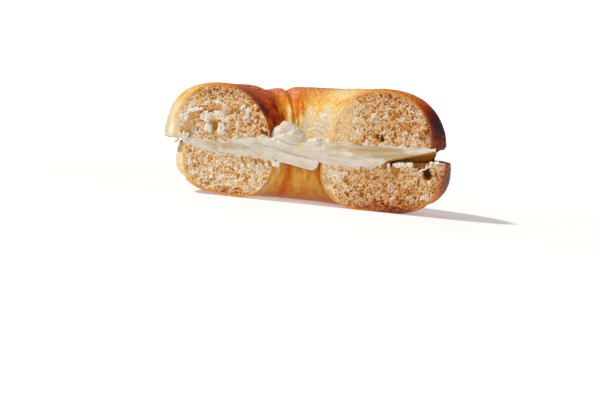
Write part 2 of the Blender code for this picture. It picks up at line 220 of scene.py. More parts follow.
def smooth(value, low, high):
    """0 below low, 1 above high, and an S between them."""
    share = np.clip((value - low) / (high - low), 0.0, 1.0)
    return share * share * (3.0 - 2.0 * share)


def between(value, start, end):
    """1 between two ranges, 0 outside them, and an S over each."""
    return smooth(value, *start) * (1.0 - smooth(value, *end))


def mix(first, second, share):
    return first + (second - first) * share


def power(value, exponent):
    return np.abs(value) ** exponent


NOISE_STEP = np.array((17.31, 5.17, 9.73))  # how far apart two turns of the noise are read


def noise_at(x, y, z, size, turn=0):
    """Smooth noise from -1 to 1 at points in millimetres, with swells of about that size."""
    points = np.stack([np.ravel(x), np.ravel(y), np.ravel(z)], axis=1) / size + NOISE_STEP * turn
    return np.array([noise.noise(point) for point in points.tolist()]).reshape(np.shape(x))


def waves(x, y, z, layers, turn):
    """Noise of several sizes and heights, laid over each other."""
    return sum(height * noise_at(x, y, z, size, turn) for size, height in layers)


def blot(axes, middle, half, sharp=1):
    """1 in the middle of an elliptical patch, less outwards. A sharp one of 2 has a firmer outline."""
    far = sum(((axis - m) / h) ** 2 for axis, m, h in zip(axes, middle, half))
    return np.exp(-(far**sharp))


def painted(value, axes, patches, sharp=1):
    """A value with patches laid over it in turn, each with its middle, half sizes and own value."""
    for middle, half, own in patches:
        value = mix(value, own, blot(axes, middle, half, sharp))
    return value


# ---- The bagel's form, as the solids have it ----


def arc(circle, t):
    """The point at t of the circle's arc behind the cut: 0 at its right end and 1 at its left."""
    x, y, radius = circle
    dip = math.asin(y / radius)
    angle = t * (math.pi + 2.0 * dip) - dip
    return x + radius * np.cos(angle), np.maximum(y + radius * np.sin(angle), 0.0)


def pinched_arc(circle, t, right, left):
    """An arc whose ends the knife rolled inwards."""
    x, y = arc(circle, t)
    rolled = 1.0 - smooth(y, 0.0, PINCH_DEPTH)
    return x - rolled * np.where(t < 0.5, right, -left), y


def reach(circle, angle):
    """How far the circle lies from the filling's centre on the cut, at an angle round it."""
    x, y, radius = circle
    x = x - FILLING_CENTRE_X
    along = x * np.cos(angle) + y * np.sin(angle)
    return along + np.sqrt(along * along + radius * radius - x * x - y * y)


def heap(shape, x, y):
    """Height of a rounded heap on an ellipse, nothing outside it."""
    middle_x, middle_y, half_x, half_y, height, bluntness = shape
    far = ((x - middle_x) / half_x) ** 2 + ((y - middle_y) / half_y) ** 2
    return height * np.clip(1.0 - far, 0.0, 1.0) ** bluntness


def fold(shape, x, y, centre):
    """Depth of a crease that runs out from the hole."""
    middle, width, depth = shape
    angle = np.degrees(np.arctan2(y - centre[1], x - centre[0]))
    return depth * np.exp(-(((angle - middle) / width) ** 2))


def slit_height(x, y, start, rises, back):
    front = start + sum(rise * smooth(x, low, high) for low, high, rise in rises)
    return mix(front, back, smooth(y, *SLIT_BACK))


def bed_height(x, y):
    """Height of the slit face on the bottom bread."""
    return slit_height(x, y, BED_START, BED_RISES, BED_BACK)


def sole_height(x, y):
    """Height of the slit face under the domed top."""
    hang = between(x, *HANG_SIDES) * between(y, *HANG_DEPTHS)
    return mix(slit_height(x, y, SOLE_START, SOLE_RISES, SOLE_BACK), bed_height(x, y) + HANG_AIR, hang)


def dome(t, turn):
    """The top bread's crust. turn is 0 at the outer seam, 90 degrees on the crown, 180 in the hole."""
    rim_x, rim_y = pinched_arc(TOP_RIM, t, *TOP_PINCHES)
    crown_x, crown_y = arc(TOP_CROWN, t)
    hole_x, hole_y = arc(TOP_HOLE, t)
    height = CROWN_HEIGHT + CROWN_TILT * np.cos(math.pi * t) - CROWN_SAG * np.sin(math.pi * t)
    height = height - CUT_PINCH_TOP * (1.0 - smooth(crown_y, 0.0, PINCH_DEPTH)) * (t < 0.5)
    outside = turn < math.pi / 2
    side_x = np.where(outside, rim_x, hole_x)
    side_y = np.where(outside, rim_y, hole_y)
    curve = np.where(outside, mix(*OUTER_CURVE, t), mix(*HOLE_CURVE, t))
    out = power(np.cos(turn), 2.0 / curve)
    up = power(np.sin(turn), 2.0 / curve)
    seam = sole_height(side_x, side_y)
    x = mix(crown_x, side_x, out)
    y = mix(crown_y, side_y, out)
    z = mix(seam, height, up)
    depth = sum(fold(shape, x, y, TOP_HOLE) for shape in (SHARP_FOLD, BROAD_FOLD))
    depth = depth * between(turn, FOLD_START, FOLD_END)
    depth = depth + LUMP_DEPTH * noise_at(x, y, z, LUMP_SIZE) * smooth(np.sin(turn), *LUMP_FADE)
    depth = depth * smooth(y, 0.0, FLAT_AT_CUT)
    heart = mix(seam, height, HEART)
    size = np.sqrt((x - crown_x) ** 2 + (y - crown_y) ** 2 + (z - heart) ** 2)
    shrink = 1.0 - depth / np.maximum(size, 1.0)
    return (
        crown_x + (x - crown_x) * shrink,
        crown_y + (y - crown_y) * shrink,
        heart + (z - heart) * shrink,
    )


def bowl(t, turn):
    """The bottom bread's crust. turn is 0 at the outer seam, 90 degrees under it, 180 in the hole."""
    rim_x, rim_y = pinched_arc(BASE_RIM, t, *BASE_PINCHES)
    foot_x, foot_y = arc(BASE_MIDDLE, t)
    hole_x, hole_y = arc(BASE_HOLE, t)
    outside = turn < math.pi / 2
    side_x = np.where(outside, rim_x, hole_x)
    side_y = np.where(outside, rim_y, hole_y)
    curve = np.where(outside, mix(*WALL_CURVE, t), WELL_CURVE)
    out = power(np.cos(turn), 2.0 / curve)
    down = power(np.sin(turn), 2.0 / curve)
    seam = bed_height(side_x, side_y)
    z = seam * np.maximum(1.0 - BASE_FLATTEN * down, 0.0)
    bulge = WALL_BULGE * np.sin(np.clip(z / seam, 0.0, 1.0) * math.pi) ** 2
    lip = LIP_DEPTH * np.exp(-(((z - LIP_HEIGHT) / LIP_WIDTH) ** 2))
    grooves = sum(fold(shape, side_x, side_y, BASE_HOLE) for shape in WELL_FOLDS)
    depth = np.where(outside, lip - bulge, grooves * smooth(z, *WELL_FOLD_START))
    depth = depth * smooth(out, *WALL_RELIEF)
    far = np.maximum(np.hypot(side_x - foot_x, side_y - foot_y), 1.0)
    x = mix(foot_x, side_x, out) - (side_x - foot_x) / far * depth
    y = mix(foot_y, side_y, out) - (side_y - foot_y) / far * depth
    y = np.where(t * (1.0 - t) > 0.0, y, 0.0)
    curl = LEFT_LIFT * (1.0 - smooth(x, *LEFT_LIFT_X)) * (1.0 - smooth(y, *LEFT_LIFT_Y))
    return x, y, z + curl * (1.0 - smooth(z, 0.0, LEFT_LIFT_TOP))


def section(t, across, up, face, crust):
    """A point of a bread from its place in the section: one side is the slit face, three are crust."""
    near = SECTION_CORNER
    far = math.pi - SECTION_CORNER
    sides = (
        (1.0 - up, face(t, across)),
        (up, crust(t, mix(far, near, across))),
        (1.0 - across, crust(t, mix(math.pi, far, up))),
        (across, crust(t, mix(0.0 * up, near, up))),
    )
    zero = np.zeros_like(t)
    corners = (
        ((1.0 - across) * (1.0 - up), face(t, zero)),
        (across * (1.0 - up), face(t, zero + 1.0)),
        ((1.0 - across) * up, crust(t, zero + far)),
        (across * up, crust(t, zero + near)),
    )
    return [
        sum(weight * point[axis] for weight, point in sides)
        - sum(weight * point[axis] for weight, point in corners)
        for axis in range(3)
    ]


def bread_point(rows, rim, pinches, hole, slit_height, crust, slit_up):
    """The rule that puts each point of a bread's sweep in its place."""

    def slit_face(t, share):
        start = arc(hole, t)
        end = pinched_arc(rim, t, *pinches)
        x, y = (mix(start[axis], end[axis], share) for axis in (0, 1))
        return x, y, slit_height(x, y)

    def point(t, across, up):
        return section(np.interp(t, *rows), across, np.abs(up - slit_up), slit_face, crust)

    return point


def filling_far(out, well, hole, rim):
    """How far out a column of points lies: columns stand at each step of the filling."""
    start, end = WALL_STEP
    middle = (well - end + hole - start) / 2.0
    places = (0.0 * rim, well - start, well - end, middle, hole - start, hole - end)
    places = places + (hole + UNDER_TOP, rim)
    far = 0.0 * out
    for count in range(len(FILLING_COLUMNS) - 1):
        low, high = (column / FILLING_COLUMNS[-1] for column in FILLING_COLUMNS[count : count + 2])
        stretch = places[count + 1] - places[count]
        far = far + stretch * np.clip((out - low) / (high - low), 0.0, 1.0)
    return far


def over_gap(x, y, low, high):
    """Height of the filling's underside, which tapers upwards over the gap at the right."""
    taper = WEDGE_SLOPE * np.maximum(x - WEDGE_START, 0.0) * (1.0 - smooth(y, *WEDGE_DEPTHS))
    wedge = np.minimum(WEDGE_HEIGHT + taper, high - WEDGE_EDGE)
    return mix(low, np.maximum(low, wedge), smooth(x, *WEDGE_OPENS))


def filling_point(t, out, up):
    """A point of the filling: out from the middle of the cut, round it by t, and up through it."""
    degrees = np.interp(t, *FILLING_ROWS)
    angle = np.radians(degrees)
    rim = reach(FILLING_RIM, angle)
    short = np.minimum(rim, VOID_REACH / np.maximum(np.cos(angle), LEAST_COSINE))
    rim = mix(rim, short, between(degrees, (FLANGE_ANGLE, VOID_ANGLE), VOID_END))
    well = reach(BASE_HOLE, angle)
    hole = reach(TOP_HOLE, angle)
    far = filling_far(out, well, hole, rim)
    x = FILLING_CENTRE_X + far * np.cos(angle)
    y = far * np.sin(angle)
    open_top = 1.0 - smooth(far, hole - WALL_STEP[0], hole - WALL_STEP[1])
    open_bottom = 1.0 - smooth(far, well - WALL_STEP[0], well - WALL_STEP[1])
    rise = sum(heap(shape, x, y) for shape in (DOLLOP, PEAK))
    high = sole_height(x, y) + rise * open_top + spread_edge(x, y, 1) - GAP * open_top
    sag = mix(*SAG, smooth(x, *SAG_SIDES)) * (1.0 - SAG_ENDS[2] * smooth(x, *SAG_ENDS[:2]))
    low = bed_height(x, y) - sag * open_bottom
    low = low - spread_edge(x, y, 2) * (1.0 - open_bottom)
    low = np.minimum(over_gap(x, y, low, high), high - THINNEST)
    return x, y, mix(low, high, up)


def spread_edge(x, y, turn):
    """How far the filling laps over the bread: a little inside, and unevenly at the cut."""
    (size, reach_out), (fine_size, fine_out) = LAP_WAVES
    smear = LAP + reach_out * np.maximum(noise_at(x, y, 0.0 * x, size, turn), LAP_TROUGH)
    fine = fine_out * noise_at(x, y, 0.0 * x, fine_size, turn + 4)
    wide = sum(far * np.exp(-(((x - middle) / half) ** 2)) for middle, half, far in WIDE_SMEARS[turn])
    lap = np.maximum(smear + fine + wide, LEAST_LAP)
    return mix(LAP_INSIDE, lap, 1.0 - smooth(y, 0.0, LAP_DEPTH))


# ---- Sweeping a section round the ring ----


def swept_mesh(name, cells, start, point, merge):
    """A grid of cells swept half round an upright axis, with every point put in its place, in mm."""
    across, up, rows = cells
    mesh = bmesh.new()
    bmesh.ops.create_grid(mesh, x_segments=across, y_segments=up, size=0.5)
    stand = Matrix.Rotation(math.pi / 2, 4, "X")
    move = Matrix.Translation((start + 0.5, 0.0, 0.5))
    bmesh.ops.transform(mesh, matrix=move @ stand, verts=mesh.verts)
    everything = mesh.verts[:] + mesh.edges[:] + mesh.faces[:]
    bmesh.ops.spin(mesh, geom=everything, axis=(0, 0, 1), angle=math.pi, steps=rows)
    if merge:
        bmesh.ops.remove_doubles(mesh, verts=mesh.verts, dist=MERGED)
    bmesh.ops.recalc_face_normals(mesh, faces=mesh.faces)
    data = mesh_data(name, mesh)
    x, y, up = read(data).T
    out = np.clip(np.hypot(x, y) - start, 0.0, 1.0)
    t = np.where(out + start < 10.0 * MERGED, 0.5, np.abs(np.arctan2(y, x)) / math.pi)
    place = tuple(np.round(share, DIGITS) for share in (t, out, np.clip(up, 0.0, 1.0)))
    write(data, np.stack(point(*place), axis=1))
    return data, place


def mesh_data(name, mesh):
    """Turns a bmesh into a mesh, and frees it."""
    data = bpy.data.meshes.new(name)
    mesh.to_mesh(data)
    mesh.free()
    return data


def add_piece(name, data, *materials):
    """An object of a finished mesh, at the origin, with its materials."""
    for material in materials:
        data.materials.append(material)
    data.shade_smooth()
    obj = bpy.data.objects.new(name, data)
    bpy.context.scene.collection.objects.link(obj)
    return obj


def read(data):
    co = np.empty(len(data.vertices) * 3)
    data.vertices.foreach_get("co", co)
    return co.reshape(-1, 3)


def write(data, co):
    data.vertices.foreach_set("co", np.asarray(co, np.float32).ravel())
    data.update()


def normals(data):
    out = np.empty(len(data.vertices) * 3)
    data.vertex_normals.foreach_get("vector", out)
    return out.reshape(-1, 3)


def add_values(data, name, values):
    layer = data.attributes.new(name, "FLOAT", "POINT")
    layer.data.foreach_set("value", np.asarray(values, np.float32))


def corners_of(data):
    """The vertices of every face, for a mesh of quads."""
    corners = np.empty(len(data.loops), int)
    data.loops.foreach_get("vertex_index", corners)
    return corners.reshape(-1, 4)


def relax(data, chosen, rounds, axes="xyz"):
    """Smooths the chosen vertices, along some axes only if asked."""
    mesh = bmesh.new()
    mesh.from_mesh(data)
    mesh.verts.ensure_lookup_table()
    verts = [mesh.verts[index] for index in np.flatnonzero(chosen)]
    use = {"use_axis_" + axis: axis in axes for axis in "xyz"}
    for _ in range(rounds):
        bmesh.ops.smooth_vert(mesh, verts=verts, factor=0.5, **use)
    mesh.to_mesh(data)
    mesh.free()


# ---- Crumb ----

# Cavities in the cut, by name: points that they run through as x, z, then half width, depth and tone.
# A tone of 0 is golden, painted light as where light shines through, and 1 is dark, painted shade.
TOP_CAVITIES = {
    "tunnel": ((-48.8, 23.6), (-48.4, 27.5), (-47.2, 30.0), (-45.2, 32.2), 2.2, 2.4, 0.08),
    "tunnel roof": ((-45.4, 33.2), (-41.0, 34.3), (-37.4, 35.0), 1.4, 2.0, 0.1),
    "tunnel shade": ((-44.4, 32.7), (-41.4, 33.1), (-39.0, 33.6), 0.6, 2.8, 0.5),
    "shallow pocket": ((-33.0, 34.6), (-29.2, 35.6), 1.9, 1.5, -0.25),
    "deep pocket": ((-38.4, 28.6), (-38.1, 27.0), 1.5, 2.6, 0.3),
    "hole by the filling": ((-19.2, 27.2), (-17.2, 26.6), 0.7, 2.4, 0.45),
    "twin hole left": ((26.8, 30.2), (27.4, 29.4), 0.7, 2.2, 0.7),
    "twin hole right": ((28.8, 30.2), (29.0, 29.0), 0.85, 2.6, 0.85),
    "narrow hole": ((21.9, 29.9), (22.0, 29.2), 0.6, 1.8, 0.5),
    "upper hole": ((33.3, 39.3), (34.3, 38.9), 0.8, 1.5, 0.3),
    "wide hole": ((37.0, 35.2), (39.2, 34.2), 1.1, 1.8, 0.1),
    "rim hole": ((44.0, 31.3), (45.4, 31.0), 0.7, 1.5, 0.3),
    "edge hole": ((45.6, 34.0), (46.2, 33.6), 0.5, 1.4, 0.6),
    "low slit": ((18.9, 26.6), (21.5, 26.2), 0.45, 1.4, 0.2),
}
BASE_CAVITIES = {
    "rim hole": ((47.8, 18.4), (48.7, 16.5), 2.0, 3.6, 1.0),
    "rim hollow": ((43.0, 20.4), (46.8, 20.6), 1.3, 4.0, 0.3),
    "rim hollow floor": ((44.8, 18.7), (45.3, 18.4), 0.65, 2.6, 1.0),
    "square hole": ((34.6, 18.0), (35.6, 16.5), 1.35, 2.4, 0.2),
    "slot": ((31.0, 19.4), (31.3, 17.8), 0.75, 2.0, 0.3),
    "thin slot": ((33.6, 20.8), (33.8, 19.0), 0.6, 2.6, 1.0),
    "leaf": ((24.3, 15.9), (24.9, 13.9), 0.9, 1.4, 0.0),
    "slant": ((13.4, 9.4), (14.3, 7.3), 0.9, 1.3, 0.0),
    "left hole": ((-20.8, 15.6), (-20.2, 14.6), 0.9, 2.0, 0.3),
    "well hole": ((-18.4, 15.6), (-17.6, 14.6), 0.8, 1.6, 0.2),
    "lip hole": ((-15.0, 15.4), (-14.6, 14.4), 0.8, 1.6, 0.2),
}
CAVITY_EDGE = (0.0, 0.8)
# The range of a cavity's painted shade, from its lightest tone to its darkest.
CAVITY_SHADE_TONES = (0.2, 1.0)
# The foam: spacing of its cells, how far they are drawn out, and how deep they open.
FOAM_SPACING = 1.02
FOAM_STRETCH = (1.0, 2.4)
FOAM_DEPTH = (0.06, 0.46)
FOAM_WALL = (0.03, 0.5)  # distances from a wall's middle over which a cell falls to its floor
FOAM_NEIGHBOURS = 7
FOAM_DROPPED = 0.15  # share of cells that ran together
FLOW_SPREAD = 0.5  # how far a cell's direction strays from the dough's, in radians
# Torn threads that stand up between the cells: size, half width, height, and how far drawn out.
THREADS = ((2.4, 0.10, 0.34), (1.2, 0.12, 0.2))
THREAD_STRETCH = 0.5
THREAD_SWIRL = (3.0, 1.5)  # size and reach of their bends, as multiples of their own size
THREAD_TORN = (1.4, -0.2, 0.3)  # size of their stretches, and the noise over which they rise
# Wider bubbles: how many in a square millimetre, half widths, how far drawn out, depth to width.
BUBBLES = (0.05, (0.4, 0.85), (1.0, 1.9), 0.7)
BUBBLE_DEPTHS = (0.5, 1.2)
PIT_ROUND = 0.6  # how full a pit is: 0.5 for an ellipsoid, 1 for a bowl
WARP = (1.5, 0.75)  # size and reach of the unevenness of their outlines
DARK_SKIN = (0.0, 0.35)  # distances from a dark crust over which cells open
PALE_SKIN = (0.2, 1.1)  # and from a pale one
UNEVEN_CUT = (5.0, 0.26)  # size and depth of the waves of the cut
RAGGED = (1.9, 0.7, 0.6)  # sizes of the unevenness of a smear's edge, and how strong the finer one is
SMEAR = (1.5, 1.3)  # how far the knife dragged the filling over the crumb: left and right end
SMEAR_UNEVEN = 0.9
SMEAR_EDGE = (0.35, 0.8)
SMEAR_LIMIT = 3.5
SMEAR_FILL = (0.25, -0.12)  # how much of the cells' depth it leaves, and how far it stands up
SMEAR_TONE = (0.3, 0.4)  # cavities of a higher tone stay open under it, and clear of its colour
CAVITY_FOAM = 0.4  # how deep the cells are inside a cavity
CUT_DEPTH = 0.1  # how far behind the solid's cut the crumb's face lies
CUT_PROUD = 0.3  # and how far its threads may stand out
CUT_EDGE = (0.0, 0.5)
# These depths become the crumb's painted shade: darker deeper in the cells, lighter on threads that stand
# up.
CLOSED_PORE = 0.34  # the depth that the colours take where no cell opens
OPEN_PORE = (0.14, 1.5, 1.2)  # and where they do: on a wall, more for each mm down, less for each mm up
RIM_REACH = 0.45
RIM_SPREAD = (0.5, 0.2)  # how unevenly the crust's colour fades into the crumb, and the least of it
RIM_FADE = 1.3
# What a mesh keeps for the crumb's colours: depth of the cells and of the cavities, both drawn with
# painted shade, nearness of the crust, smeared filling, toasting, and how brown the crust next to it is.
CRUMB_LAYERS = ("pore_shade", "hollow", "rim", "smear", "toast", "bake")


def ellipse_pit(x, z, near_x, near_z, half, stretch, turn):
    """How deep a point lies in a rounded pit, as a share of its depth."""
    along = (x - near_x) * math.cos(turn) + (z - near_z) * math.sin(turn)
    beside = (z - near_z) * math.cos(turn) - (x - near_x) * math.sin(turn)
    far = (along / (half * stretch)) ** 2 + (beside / half) ** 2
    return np.clip(1.0 - far, 0.0, 1.0) ** PIT_ROUND


def dough_flow(x, z, centre):
    """The direction in which the dough was rolled: round the middle of the section."""
    return np.arctan2(x - centre[0], centre[1] - z)


def foam_depths(x, z, rng, centre):
    """Depth of the crumb's small cells, which share thin walls and follow the flow of the dough."""
    counts = [int((axis.max() - axis.min()) / FOAM_SPACING) + 3 for axis in (x, z)]
    columns, rows = np.meshgrid(np.arange(counts[0]), np.arange(counts[1]))
    sites = np.stack([columns.ravel(), rows.ravel()], axis=1)
    sites = sites + rng.uniform(-0.5, 0.5, sites.shape)
    sites = sites * FOAM_SPACING + (x.min() - FOAM_SPACING, z.min() - FOAM_SPACING)
    sites = sites[rng.uniform(size=len(sites)) > FOAM_DROPPED]
    turn = dough_flow(sites[:, 0], sites[:, 1], centre) + rng.normal(0.0, FLOW_SPREAD, len(sites))
    stretch = rng.uniform(*FOAM_STRETCH, len(sites)) ** 0.5
    deep = rng.uniform(*FOAM_DEPTH, len(sites))
    tree = kdtree.KDTree(len(sites))
    for index, site in enumerate(sites):
        tree.insert((site[0], site[1], 0.0), index)
    tree.balance()
    near = [[hit[1] for hit in tree.find_n((px, pz, 0.0), FOAM_NEIGHBOURS)] for px, pz in zip(x, z)]
    near = np.array(near)
    run = x[:, None] - sites[near, 0], z[:, None] - sites[near, 1]
    along = (run[0] * np.cos(turn[near]) + run[1] * np.sin(turn[near])) / stretch[near]
    beside = (run[1] * np.cos(turn[near]) - run[0] * np.sin(turn[near])) * stretch[near]
    far = np.hypot(along, beside)
    order = np.argsort(far, axis=1)[:, :2]
    first, second = np.take_along_axis(far, order, axis=1).T
    own = near[np.arange(len(near)), order[:, 0]]
    return deep[own] * smooth(second - first, *FOAM_WALL)


def thread_heights(x, z, centre):
    """Height of the torn threads of crumb, drawn out along the flow of the dough."""
    radius = np.hypot(x - centre[0], z - centre[1])
    total = np.zeros_like(x)
    for turn, (size, half, height) in enumerate(THREADS):
        swirl = THREAD_SWIRL[1] * noise_at(x, z, 0.0 * x, THREAD_SWIRL[0] * size, 20 + turn)
        along = (x * THREAD_STRETCH / size, z * THREAD_STRETCH / size)
        lane = noise_at(radius / size + swirl, *along, 1.0, 24 + turn)
        torn = smooth(noise_at(x, z, 0.0 * x, THREAD_TORN[0] * size, 28 + turn), *THREAD_TORN[1:])
        total = np.maximum(total, height * torn * np.exp(-((lane / half) ** 2)))
    return total


def bubble_depths(x, z, rng, centre):
    """Depth of the wider bubbles that lie among the small cells."""
    density, halves, stretches, ratio = BUBBLES
    box = (x.min(), x.max(), z.min(), z.max())
    depth = np.zeros_like(x)
    for _ in range(int(density * (box[1] - box[0]) * (box[3] - box[2]))):
        near_x, near_z = rng.uniform(box[0], box[1]), rng.uniform(box[2], box[3])
        half = rng.uniform(*halves)
        stretch = rng.uniform(*stretches)
        turn = dough_flow(near_x, near_z, centre) + rng.normal(0.0, FLOW_SPREAD)
        span = half * stretch
        near = np.flatnonzero((np.abs(x - near_x) < span) & (np.abs(z - near_z) < span))
        if len(near):
            pit = ellipse_pit(x[near], z[near], near_x, near_z, half, stretch, turn)
            depth[near] = np.maximum(depth[near], pit * half * ratio * rng.uniform(*BUBBLE_DEPTHS))
    return depth


def cavity_depths(x, z, cavities):
    """Depth of the named cavities, each a rounded channel along its points, and their tone."""
    depth, tones = np.zeros((2, len(x)))
    for *path, half, deep, tone in cavities.values():
        near = np.inf
        for (x0, z0), (x1, z1) in zip(path, path[1:]):
            run = (x1 - x0) ** 2 + (z1 - z0) ** 2
            share = np.clip(((x - x0) * (x1 - x0) + (z - z0) * (z1 - z0)) / run, 0.0, 1.0)
            near = np.minimum(near, np.hypot(x - mix(x0, x1, share), z - mix(z0, z1, share)))
        inside = np.clip(1.0 - (near / half) ** 2, 0.0, 1.0)
        depth = np.maximum(depth, deep * inside**0.5)
        tones = np.maximum(tones, smooth(inside, *CAVITY_EDGE) * mix(*CAVITY_SHADE_TONES, tone))
    return depth, tones


def nearest_outline(co, cap, outline):
    """Distance from each point of a cut end to its outline, and which vertex there is nearest."""
    tree = kdtree.KDTree(len(outline))
    for index in outline:
        tree.insert((co[index, 0], 0.0, co[index, 2]), int(index))
    tree.balance()
    found = [tree.find((px, 0.0, pz)) for px, pz in co[cap][:, (0, 2)]]
    return np.array([hit[2] for hit in found]), np.array([hit[1] for hit in found])


def crumb_face(x, z, edge, crust, kind, end, rng):
    """How deep the cut lies at each point, and what the crumb's colours need there."""
    flat = 0.0 * x
    size, bend = WARP
    warped = [axis + bend * noise_at(x, flat, z, size, 11 + turn) for turn, axis in enumerate((x, z))]
    foam = foam_depths(*warped, rng, kind.hearts[end])
    threads = thread_heights(*warped, kind.hearts[end])
    cells = np.maximum(foam, bubble_depths(*warped, rng, kind.hearts[end]))
    deep, tones = cavity_depths(*warped, kind.cavities)
    skin = [mix(*reaches, crust) for reaches in zip(PALE_SKIN, DARK_SKIN)]
    opened = smooth(edge, *skin) * painted(1.0, (x, z), kind.smooth_crumb, 2)
    from_slit = np.abs(z - kind.slit_height(x, flat))
    ragged = noise_at(x, flat, z, RAGGED[0], 13) + RAGGED[2] * noise_at(x, flat, z, RAGGED[1], 14)
    wiped = smooth(1.0 - from_slit / SMEAR[1 - end] + SMEAR_UNEVEN * ragged, *SMEAR_EDGE)
    wiped = wiped * (from_slit < SMEAR_LIMIT) * kind.smeared(x)
    sink = np.maximum(cells, deep + CAVITY_FOAM * foam) - threads
    sink = sink + UNEVEN_CUT[1] * noise_at(x, flat, z, UNEVEN_CUT[0], 7)
    sink = mix(sink, SMEAR_FILL[0] * sink + SMEAR_FILL[1], wiped * (tones < SMEAR_TONE[0]))
    sink = np.maximum(sink + CUT_DEPTH, -CUT_PROUD) * smooth(edge, *CUT_EDGE) * opened
    wall, down, up = OPEN_PORE
    rim = rim_width(x, z, kind) * np.maximum(1.0 + RIM_SPREAD[0] * ragged, RIM_SPREAD[1])
    return sink, {
        "pore_shade": mix(CLOSED_PORE, np.clip(wall + down * cells - up * threads, 0.0, 1.0), opened),
        "hollow": tones,
        "rim": np.exp(-((edge / rim) ** RIM_FADE)),
        "smear": wiped * (1.0 - smooth(tones, 0.0, SMEAR_TONE[1])),
        "toast": painted(0.0, (x, z), kind.toasted, 2),
        "bake": crust,
    }


def open_crumb(data, place, kind, brown, rng):
    """Sinks cells and cavities into both cut ends, and keeps what the crumb's colours need."""
    t, across, up = place
    co = read(data)
    layers = {name: np.zeros(len(co)) for name in CRUMB_LAYERS}
    layers["bake"][:] = brown
    for end in (0, 1):
        cap = np.flatnonzero(t == end)
        skin = (up[cap] == 1.0 - kind.slit_up) | np.isin(across[cap], (0.0, 1.0))
        edge, nearest = nearest_outline(co, cap, cap[skin])
        found = crumb_face(co[cap, 0], co[cap, 2], edge, brown[nearest], kind, end, rng)
        co[cap, 1] = found[0]
        for name, values in found[1].items():
            layers[name][cap] = values
    between_cuts = t * (1.0 - t) > 0.0
    # Painted shade: the slit faces, hidden in the gap between the breads, take the darkest cavity colour.
    layers["hollow"][between_cuts & (up == kind.slit_up)] = 1.0
    body = between_cuts & (up != kind.slit_up)
    layers["rim"][body] = cut_blend(*co[body].T, kind)
    write(data, co)
    for name, values in layers.items():
        add_values(data, name, values)


# ---- Crust ----

# Where the oven browned the dough more or less, with one paler patch on the crown as a painted sheen:
# middle, half sizes in x, y and z, and the browning.
TOP_BAKE = (
    ((0.0, 30.0, 47.0), (60.0, 45.0, 18.0), 0.58),
    ((-50.0, 8.0, 40.0), (10.0, 26.0, 8.0), 0.36),
    ((-56.0, 4.0, 33.0), (7.0, 26.0, 6.0), 0.13),
    ((-56.0, 4.0, 25.0), (9.0, 26.0, 6.0), -0.06),
    ((0.0, 66.0, 27.0), (60.0, 14.0, 6.0), 0.38),
    ((53.0, 10.0, 36.0), (10.0, 26.0, 13.0), 1.04),
    ((56.0, 8.0, 25.0), (6.0, 24.0, 5.0), 0.94),
    ((36.0, 3.0, 49.0), (15.0, 8.0, 4.0), 0.50),
    ((-24.0, 7.0, 42.0), (8.0, 12.0, 9.0), 0.82),
    ((-16.0, 14.0, 33.0), (6.0, 8.0, 14.0), 0.80),
    ((-8.0, 22.0, 43.0), (6.0, 10.0, 8.0), 0.54),
    ((-6.0, 16.5, 27.0), (4.0, 6.0, 7.0), 0.30),
    # A painted sheen: the top of the crown is kept paler where light glances off it.
    ((11.0, 20.0, 47.5), (15.0, 16.0, 4.5), 0.2),
    ((4.5, 14.0, 31.0), (12.0, 14.0, 15.0), -0.02),
    ((14.0, 3.0, 32.0), (6.0, 9.0, 11.0), 0.06),
    ((-6.0, 20.0, 48.0), (6.0, 12.0, 5.0), 0.62),
)
BASE_BAKE = (
    ((0.0, 30.0, 10.0), (70.0, 60.0, 40.0), 0.42),
    ((0.0, 30.0, 0.0), (70.0, 60.0, 2.2), 0.50),
    ((-51.0, 6.0, 10.0), (10.0, 26.0, 10.0), 0.12),
    ((-34.0, 2.0, 0.5), (12.0, 10.0, 2.6), 0.52),
    ((-4.0, 9.0, 9.0), (16.0, 11.0, 14.0), 0.34),
    ((57.0, 8.0, 15.0), (6.0, 26.0, 10.0), 0.88),
    ((38.0, 6.0, 0.5), (16.0, 20.0, 3.0), 0.97),
)
# Bands that run down the wall of the hole: angle, half width in degrees, and how much browner.
TOP_BANDS = (
    (142.0, 6.0, -0.12),
    (124.0, 5.0, 0.06),
    (111.0, 3.5, -0.24),
    (97.0, 7.0, 0.12),
    (84.0, 4.0, -0.1),
    (68.0, 6.0, 0.06),
)
BASE_BANDS = ((107.0, 6.5, 0.25), (75.0, 12.0, 0.05), (27.0, 6.0, 0.14), (146.0, 12.0, -0.12))
BARE_BAKE = 0.55
BAND_REACH = (14.0, 26.0)
TONGUES = (2.4, 3.0)  # width and length of the brown tongues that run down the hole's wall
FLUTE_TINT = 0.32  # how much browner the ridges of the puckers are
BAKE_PATCHES = ((16.0, 0.07), (4.5, 0.06))  # size and depth of the unevenness of the browning
BLISTERS = ((2.6, 0.09), (1.1, 0.045))
CREASES = (0.9, 9.0, 0.22)  # spacing and length of the creases of the dark side, and their depth
CREASES_FROM = (0.7, 0.95)  # how brown the crust is where they start and where they are deepest
FLUTES = (1.3, 6.0, 0.7)  # spacing, length and depth of the puckers in the hole
FINE_FLUTES = (0.45, 0.5)  # spacing and depth of the finer ones between, as shares of theirs
FLUTE_REACH = (4.0, 12.0)  # how far out from the hole they fade
FLUTE_TINTED = (0.0, 0.3)
ENDS = (0.0, 0.004)  # next to the cut, where the crust has no relief
